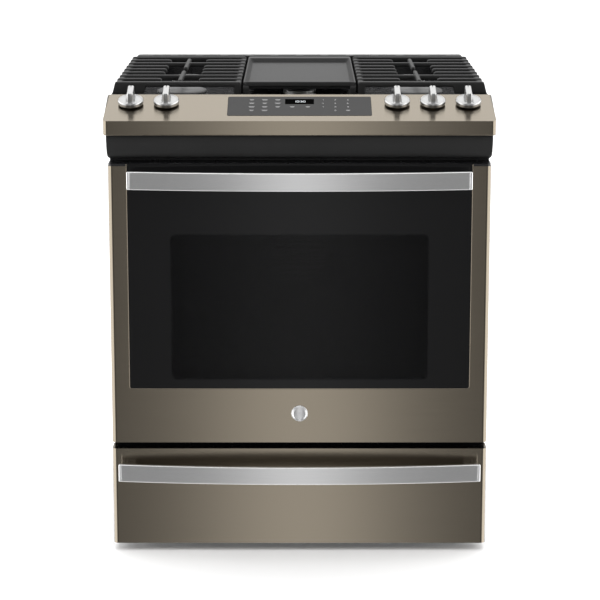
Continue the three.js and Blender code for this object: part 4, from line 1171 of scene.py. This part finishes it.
def trim_block(form):
    tall = (trim_low.z - TRIM_CORNER, trim_high.z)
    outline = rounded((trim_low.x, trim_high.x), tall, TRIM_CORNER, 8)
    outline = [(x, max(z, trim_low.z)) for x, z in outline]
    skin(form, [[(x, y, z) for x, z in outline] for y in (trim_low.y, trim_high.y)])


def vent_slots(form):
    pitch = (trim_high.x - trim_low.x - 60 * MM) / SLOTS
    half = 0.36 * pitch
    y = trim_low.y + 14 * MM
    levels = [(trim_low.z + 4 * MM, 0), (trim_high.z + MM, 0)]
    for i in range(SLOTS):
        x = (i - (SLOTS - 1) / 2) * pitch
        upright(form, (x - half, x + half), (y - 3 * MM, y + 3 * MM), 2.9 * MM, levels)


trim = carve(new_piece("rear_vent_cover", trim_block), vent_slots)
ease(trim, 1.2 * MM, 3, 60)
dress(trim, "chassis", "black_paint", paint, "rear_vent_trim")
print("rear vent trim:", SLOTS, "slots")

# %% [markdown]
# ## Burners
# Each round burner is a cast aluminium head with a ring of flame ports, and an enamelled cap that sits on
# it. The middle burner is long and narrow, for the griddle, so its head and cap are stacks of stadium
# outlines instead of turned ones.


# %% Burner heads and caps
STEM = 18 * MM
STEM_RADIUS = 19 * MM
BRIM = 5 * MM


def burner(name):
    head, cap = "burner_head_" + name, "burner_cap_" + name
    low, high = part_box(head)
    middle, radius = (low + high) / 2, (high.x - low.x) / 2 - BRIM
    foot, top = low.z + STEM, high.z

    def head_form(form):
        profile = [
            (8 * MM, low.z), (STEM_RADIUS, low.z), (STEM_RADIUS, foot), (radius + 4.2 * MM, foot),
            (radius + BRIM, foot + 0.8 * MM), (radius + BRIM, foot + 2.4 * MM), (radius, foot + 4.5 * MM),
            (radius, foot + 6 * MM), (radius, foot + 6.4 * MM), (radius, top - 2.2 * MM),
            (radius, top - 1.8 * MM), (radius, top - 0.5 * MM), (radius - 0.5 * MM, top), (8 * MM, top),
        ]
        turn(form, profile, 96, (middle.x, middle.y, 0), ports=(8, 9))

    cap_low, cap_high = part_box(cap)
    reach, base, height = (cap_high.x - cap_low.x) / 2, cap_low.z, cap_high.z - cap_low.z

    def cap_form(form):
        edge = [(-3, 0), (-0.8, 0.05), (-0.1, 0.2), (0, 0.35), (-0.4, 0.6), (-1.6, 0.8), (-4, 0.92), (-8, 1)]
        profile = [(reach + inset * MM, base + height * share) for inset, share in edge]
        turn(form, [(0, base), *profile, (0, base + height)], 96, (middle.x, middle.y, 0))

    head_piece = new_piece(head + "_cast", head_form)
    ease(head_piece, 0.3 * MM, 2, 40)
    dress(head_piece, "chassis", "aluminium", aluminium, head)
    cap_piece = new_piece(cap + "_enamelled", cap_form)
    shade(cap_piece)
    dress(cap_piece, "chassis", "cap_enamel", cap_enamel, cap)


for name in BURNERS[:4]:
    burner(name)


def oval(node, levels):
    """A stack of stadium outlines that fills a node's box; levels are pairs of height and inset."""
    low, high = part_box(node)
    middle = (low + high) / 2
    half_x, half_y = (high.x - low.x) / 2, (high.y - low.y) / 2

    def build(form):
        x_span = (middle.x - half_x, middle.x + half_x)
        y_span = (middle.y - half_y, middle.y + half_y)
        upright(form, x_span, y_span, half_x - 0.2 * MM, levels, 16)

    return build


low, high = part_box("burner_cap_center")
cap_rise = high.z - low.z
cap_steps = [(0, 1.2), (0.08, 0.3), (0.3, 0), (0.6, 0.5), (0.82, 1.8), (0.95, 4), (1, 8)]
cap_levels = [(low.z + share * cap_rise, inset * MM) for share, inset in cap_steps]
centre_cap = new_piece("burner_cap_center_enamelled", oval("burner_cap_center", cap_levels))
shade(centre_cap)
dress(centre_cap, "chassis", "cap_enamel", cap_enamel, "burner_cap_center")

low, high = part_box("burner_head_center")
foot = low.z + STEM
PORT_PITCH = 7 * MM
head_levels = [(foot, 0.6 * MM), (foot + 0.6 * MM, 0), (foot + 2.4 * MM, 0), (foot + 4 * MM, BRIM),
               (high.z, BRIM)]


def centre_head(form):
    oval("burner_head_center", head_levels)(form)
    stem = [(STEM_RADIUS, low.z), (STEM_RADIUS, foot + MM)]
    turn(form, stem, 48, (*middle_of("burner_head_center").xy, 0))


def centre_ports(form):
    middle = middle_of("burner_head_center")
    rows = int((high.y - low.y - 30 * MM) / PORT_PITCH)
    levels = [(foot + 6 * MM, 0), (high.z - 2 * MM, 0)]
    for i in range(rows):
        y = middle.y + (i - (rows - 1) / 2) * PORT_PITCH
        upright(form, (low.x, high.x), (y - 1.2 * MM, y + 1.2 * MM), 0.4 * MM, levels, 2)


centre_casting = carve(new_piece("burner_head_center_cast", centre_head), centre_ports)
ease(centre_casting, 0.3 * MM, 2, 40)
dress(centre_casting, "chassis", "aluminium", aluminium, "burner_head_center")
print("burners:", len(BURNERS))

# %% [markdown]
# ## Cast grates
# A grate is one casting: nine bars across, two side rails, short bars over the burners, and feet. In sand
# casting every inner corner has a fillet and every outer corner is soft. The bars are laid down as plain
# overlapping shapes first; then a voxel remesh fuses them into one skin and smoothing rounds every joint,
# which is quicker and truer than filleting each crossing by hand. Decimation takes off the spare faces.


# %% Casting
VOXEL = 1.6 * MM
FACES_KEPT = 0.3


def cast(piece):
    fuse = piece.modifiers.new("fuse", "REMESH")
    fuse.mode = "VOXEL"
    fuse.voxel_size = VOXEL
    soften = piece.modifiers.new("soften", "SMOOTH")
    soften.factor = 0.5
    soften.iterations = 2
    thin = piece.modifiers.new("thin_out", "DECIMATE")
    thin.ratio = FACES_KEPT
    apply_modifiers(piece)
    for face in piece.data.polygons:
        face.use_smooth = True
    return piece


def bar(form, axis, line, stations):
    """A bar along axis x or y; stations are (place along it, half width, underside, top)."""
    rings = []
    for along, half, low, top in stations:
        section = rounded((line - half, line + half), (low, top), min(half, 3 * MM), 3)
        rings.append([(along, u, v) if axis == "x" else (u, along, v) for u, v in section])
    skin(form, rings)


def blunt(end, inward, half, low, top):
    """The rounded end of a bar at its outer side."""
    steps = [(0, 3.2, 2.6), (1.2, 1.2, 1.0), (3.5, 0, 0)]
    return [(end + inward * a * MM, half - b * MM, low + c * MM, top - c * MM) for a, b, c in steps]


def fingertip(end, inward, half, low, top):
    """The end of a finger beside a burner: blunt, with its upper edge a little lower."""
    steps = [(0, 2.4, 2.4, 3.0), (1.2, 0.8, 0.8, 1.2), (3.5, 0, 0, 0.3), (9, 0, 0, 0)]
    return [(end + inward * a * MM, half - b * MM, low + c * MM, top - d * MM) for a, b, c, d in steps]


def plate(form, outline, y_span):
    """An outline in XZ, pushed along Y."""
    skin(form, [[(x, y, z) for x, z in outline] for y in y_span])


# %% Grates
BARS = 9
BAR = 11 * MM
FRAME_BAR = 14 * MM
RAIL = 12 * MM
RAIL_DROP = 4 * MM
FLARE = 5 * MM
FINGER_GAP = 76 * MM
CROSS_BAR = (164 * MM, 9 * MM)
BURNER_LINES = (2, 6)
FOOT_REACH = (66, 30)


def grate_form(side):
    """Bars of one grate; side is -1 for the left one and 1 for the right one."""
    hand = "left" if side < 0 else "right"
    low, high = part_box(hand + "_grate")
    outer = low.x + FLARE if side < 0 else high.x - FLARE
    inner = high.x if side < 0 else low.x
    inward = -side
    middle = middle_of("burner_cap_" + hand + "_front").x
    front, back, top = low.y, high.y, high.z
    under = top - BAR
    pitch = (back - front - FRAME_BAR - 2 * MM) / (BARS - 1)
    lines = [front + MM + FRAME_BAR / 2 + i * pitch for i in range(BARS)]
    half = BAR / 2

    def build(form):
        whole = [*blunt(outer, inward, half, under, top), *blunt(inner, -inward, half, under, top)[::-1]]
        for i, line in enumerate(lines[1:-1], start=1):
            if i in BURNER_LINES:
                bar(form, "x", line, whole)
                continue
            for end, way in ((outer, inward), (inner, -inward)):
                tip = middle - way * FINGER_GAP / 2
                tips = fingertip(tip, -way, half, under, top)[::-1]
                bar(form, "x", line, [*blunt(end, way, half, under, top), *tips])
        edge = FRAME_BAR / 2
        stout = [*blunt(outer, inward, edge, under, top), *blunt(inner, -inward, edge, under, top)[::-1]]
        for line in (front + edge, back - edge):
            bar(form, "x", line, stout)
        for line in (outer + inward * RAIL / 2, inner - inward * RAIL / 2):
            ends = [(y, RAIL / 2, under - 2 * MM, top - RAIL_DROP) for y in (front + MM, back - MM)]
            bar(form, "y", line, ends)
        length, width = CROSS_BAR
        for line in [lines[i] for i in BURNER_LINES]:
            ends = [*fingertip(line - length / 2, 1, width / 2, under, top),
                    *fingertip(line + length / 2, -1, width / 2, under, top)[::-1]]
            bar(form, "y", middle, ends)
        on_rim = cooktop_high.z + CLEARANCE
        on_floor = well_floor + CLEARANCE
        shoulder = top - RAIL_DROP
        for reach, y_span in zip(FOOT_REACH, ((front, front + 12 * MM), (back - 12 * MM, back))):
            outline = [(outer, shoulder), (outer + inward * reach * MM, shoulder),
                       (outer + inward * (reach - 6) * MM, on_rim), (outer - inward * FLARE, on_rim)]
            plate(form, outline, y_span)
        span = sorted((inner, inner - inward * 15 * MM))
        levels = [(on_floor, 0.8 * MM), (on_floor + MM, 0), (shoulder, 0)]
        for y in (front, back - FRAME_BAR):
            upright(form, span, (y, y + FRAME_BAR), 2 * MM, levels)
        halfway = (front + back) / 2
        for x, foot in ((outer, on_rim), (inner, on_floor)):
            span = sorted((x, x + (inward if x == outer else -inward) * RAIL))
            along = (halfway - 9 * MM, halfway + 9 * MM)
            upright(form, span, along, 2 * MM, [(foot, 0), (shoulder, 0)])

    return build


for side, body in ((-1, "left_grate"), (1, "right_grate")):
    casting = cast(new_piece(body + "_casting", grate_form(side), 0.0))
    dress(casting, body, "cast_iron", iron, body)
    print(casting.name, len(casting.data.polygons), "faces")

# %% [markdown]
# ## Griddle
# The griddle is a shallow cast tray with a thin rim and sloping inner walls. At the back its rim is a wide
# flat land. The tray goes from its underside out and over the rim and down to the cooking floor in one
# stack; a band stiffens the edge below the rim, and four feet reach the well.


# %% Griddle
griddle_low, griddle_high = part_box("griddle")
TRAY = 10 * MM


def griddle_form(form):
    top, width = griddle_high.z, griddle_high.x
    front, back = griddle_low.y, griddle_high.y

    def ring(z, inset, front_inset=None, back_inset=None, radius=8.0):
        """One outline; its insets are in millimetres, and equal when only the first is given."""
        y0 = front + (inset if front_inset is None else front_inset) * MM
        y1 = back - (inset if back_inset is None else back_inset) * MM
        side = width - inset * MM
        return [(u, v, z) for u, v in rounded((-side, side), (y0, y1), radius * MM, 6)]

    floor = top - TRAY
    underside = [(floor - 5 * MM, 14), (floor - 5 * MM, 6), (floor - 4 * MM, 5), (top - 9 * MM, 5)]
    rim = [(top - 9 * MM, 1), (top - 8.4 * MM, 0.2), (top - 7.5 * MM, 0), (top - 2 * MM, 0),
           (top - 0.8 * MM, 0.4), (top - 0.2 * MM, 1.0), (top, 1.8, None, None, 7)]
    inside = [(top, 2.6, 5.2, 34, 6), (top - 0.3 * MM, 3.3, 6.0, 35, 5.5), (top - 1.2 * MM, 4.0, 7.0, 36, 5),
              (floor + 1.6 * MM, 9.4, 12.2, 41.2, 5), (floor + 0.4 * MM, 10.6, 13.4, 42.4, 5),
              (floor, 12.4, 15.2, 44.2, 5)]
    skin(form, [ring(*step) for step in underside + rim + inside])
    foot = well_floor + CLEARANCE
    levels = [(foot, 1 * MM), (foot + 1.2 * MM, 0), (top - 14 * MM, 0), (top - 8 * MM, 0)]
    for side in (-1, 1):
        span = sorted((side * width, side * (width - 12 * MM)))
        for y in (front, back - FRAME_BAR):
            upright(form, span, (y, y + FRAME_BAR), 2 * MM, levels)


griddle = new_piece("griddle_casting", griddle_form, 0.0)
shade(griddle)
dress(griddle, "griddle", "cast_iron", iron, "griddle")
print("griddle:", len(griddle.data.polygons), "faces, tray", round(TRAY / MM), "mm deep")

# %% [markdown]
# ## Oven racks
# A rack is welded from chromed rod: a stout frame, a cross brace, and many thin rods from front to back.
# `rod` sweeps a circle along a path.


# %% Racks
def rod(form, path, radius, sides=12, looped=False):
    """A round rod along a level path of points."""
    count = len(path)
    angles = [2 * math.pi * k / sides for k in range(sides)]
    rings = []
    for i, here in enumerate(path):
        before = path[(i - 1) % count] if looped or i else here
        after = path[(i + 1) % count] if looped or i < count - 1 else here
        along = (Vector(after) - Vector(before)).normalized()
        aside = along.cross(Vector((0, 0, 1))).normalized()
        above = along.cross(aside)
        rings.append([Vector(here) + radius * (math.cos(a) * aside + math.sin(a) * above) for a in angles])
    skin(form, rings, looped=looped)


RACK_ROD = 3.4 * MM
THIN_ROD = 2.0 * MM
THIN_RODS = 21


def rack_form(node):
    low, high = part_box(node)
    z = (low.z + high.z) / 2

    def build(form):
        x_span = (low.x + RACK_ROD + MM, high.x - RACK_ROD - MM)
        y_span = (low.y + RACK_ROD, high.y - RACK_ROD)
        rod(form, [(x, y, z) for x, y in rounded(x_span, y_span, 14 * MM, 8)], RACK_ROD, looped=True)
        for i in range(1, THIN_RODS + 1):
            x = x_span[0] + (x_span[1] - x_span[0]) * i / (THIN_RODS + 1)
            rod(form, [(x, y_span[0], z + 1.2 * MM), (x, y_span[1], z + 1.2 * MM)], THIN_ROD, 10)
        middle = sum(y_span) / 2
        rod(form, [(x_span[0], middle, z - 1.4 * MM), (x_span[1], middle, z - 1.4 * MM)], THIN_ROD, 10)

    return build


for name in ("lower", "upper"):
    node = name + "_oven_rack"
    rack = new_piece(node + "_rods", rack_form(node), 0.0)
    shade(rack)
    dress(rack, name + "_rack", "chrome_rod", chrome, node)
    print(rack.name, len(rack.data.polygons), "faces")

# %% [markdown]
# ## Door seal
# A woven glass-fibre rope lies round the oven's mouth and is squeezed by the closed door. Its section is a
# flat oval, carried once round a rounded rectangle.


# %% Gasket
ROPE_SIDES = 12


def gasket_form(form):
    low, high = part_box("door_gasket")
    half_width, half_depth = 4.2 * MM, (high.y - low.y) / 2
    middle_y = (low.y + high.y) / 2
    path = rounded((low.x, high.x), (low.z, high.z), 18 * MM, 10, half_width)
    count = len(path)
    rings = []
    for i, (x, z) in enumerate(path):
        (x0, z0), (x1, z1) = path[i - 1], path[(i + 1) % count]
        run = Vector((x1 - x0, z1 - z0)).normalized()
        side = Vector((run.y, -run.x))
        ring = []
        for k in range(ROPE_SIDES):
            angle = 2 * math.pi * k / ROPE_SIDES
            u = half_width * math.cos(angle)
            ring.append((x + side.x * u, middle_y + half_depth * math.sin(angle), z + side.y * u))
        rings.append(ring)
    skin(form, rings, looped=True)


gasket = new_piece("door_seal_rope", gasket_form)
shade(gasket)
dress(gasket, "chassis", "gasket_weave", braid, "door_gasket")
print("door seal:", len(gasket.data.polygons), "faces")

# %% [markdown]
# ## Badge and screws
# The badge on the door's lower rail is a plain turned disc with a raised rim and nothing on it. Round-headed
# screws hold the back panel at its sides and along its top.


# %% Badge and back screws
badge_place = Vector((0, door_low.y, door_low.z + 61 * MM))


def badge_form(form):
    profile = [(0, -0.2), (16.3, -0.2), (16.5, 0.2), (16.5, 1.0), (16.1, 1.5), (15.2, 1.6), (14.4, 1.4),
               (13.4, 0.6), (12.6, 0.5), (12.2, 0.9), (11.6, 1.0), (11, 0.8), (6, 0.5), (0, 0.4)]
    turn(form, millimetres(profile), 72)


badge = new_piece("plain_badge", badge_form)
shade(badge)
badge.matrix_world = Matrix.Translation(badge_place) @ Matrix.Rotation(math.radians(90), 4, "X")
dress(badge, "oven_door", "brushed_steel", strap)

back_low, back_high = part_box("back_panel")


def screws_form(form):
    head = [(0, 0), (4.4, 0), (4.4, 0.5), (3.9, 1.4), (2.8, 2.0), (1.6, 2.2), (1.4, 1.2), (0, 1.1)]
    rows = 5
    places = [(side * (back_high.x - 26 * MM), row) for side in (-1, 1) for row in range(rows)]
    places += [(x * 120 * MM, rows - 1) for x in (-2, -1, 0, 1, 2)]
    for x, row in places:
        z = back_low.z + 30 * MM + (back_high.z - back_low.z - 60 * MM) * row / (rows - 1)
        seat = Matrix.Translation((x, back_high.y, z)) @ Matrix.Rotation(math.radians(-90), 4, "X")
        turn_at(form, millimetres(head), 24, seat)


screws = new_piece("back_panel_screws", screws_form, 0.0)
shade(screws)
dress(screws, "chassis", "galvanised", zinc)
print("badge:", len(badge.data.polygons), "faces; screws:", len(screws.data.polygons), "faces")

# %% [markdown]
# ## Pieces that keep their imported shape
# Flat sheets, the oven box, the frame and the gas pipes already have their true shape. They get a finish and
# eased edges and nothing else.

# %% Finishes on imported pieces
KEPT = {
    paint: ["left_side_panel", "right_side_panel", "drawer_box"],
    zinc: ["back_panel", "base_frame", "fan_motor", "door_hinge_left", "door_hinge_right",
           "front_left_leg", "front_right_leg", "rear_left_leg", "rear_right_leg"],
    enamel: ["front_frame", "oven_liner", "fan_cover", "door_liner"],
    wool: ["insulation_wrap"],
    aluminium: ["broil_burner", "bake_burner", "convection_fan", "gas_manifold", "pressure_regulator"],
    clear: ["door_inner_glass"],
    plastic: ["cord_gland"],
}
for finish, nodes in KEPT.items():
    for node in nodes:
        finish_node(node, finish)

shown = [node for node in frame["nodes"].values() if not node.hide_render]
unfinished = [node.name for node in shown if "rounded_edges" not in node.modifiers]
print("nodes left without a finish:", unfinished)
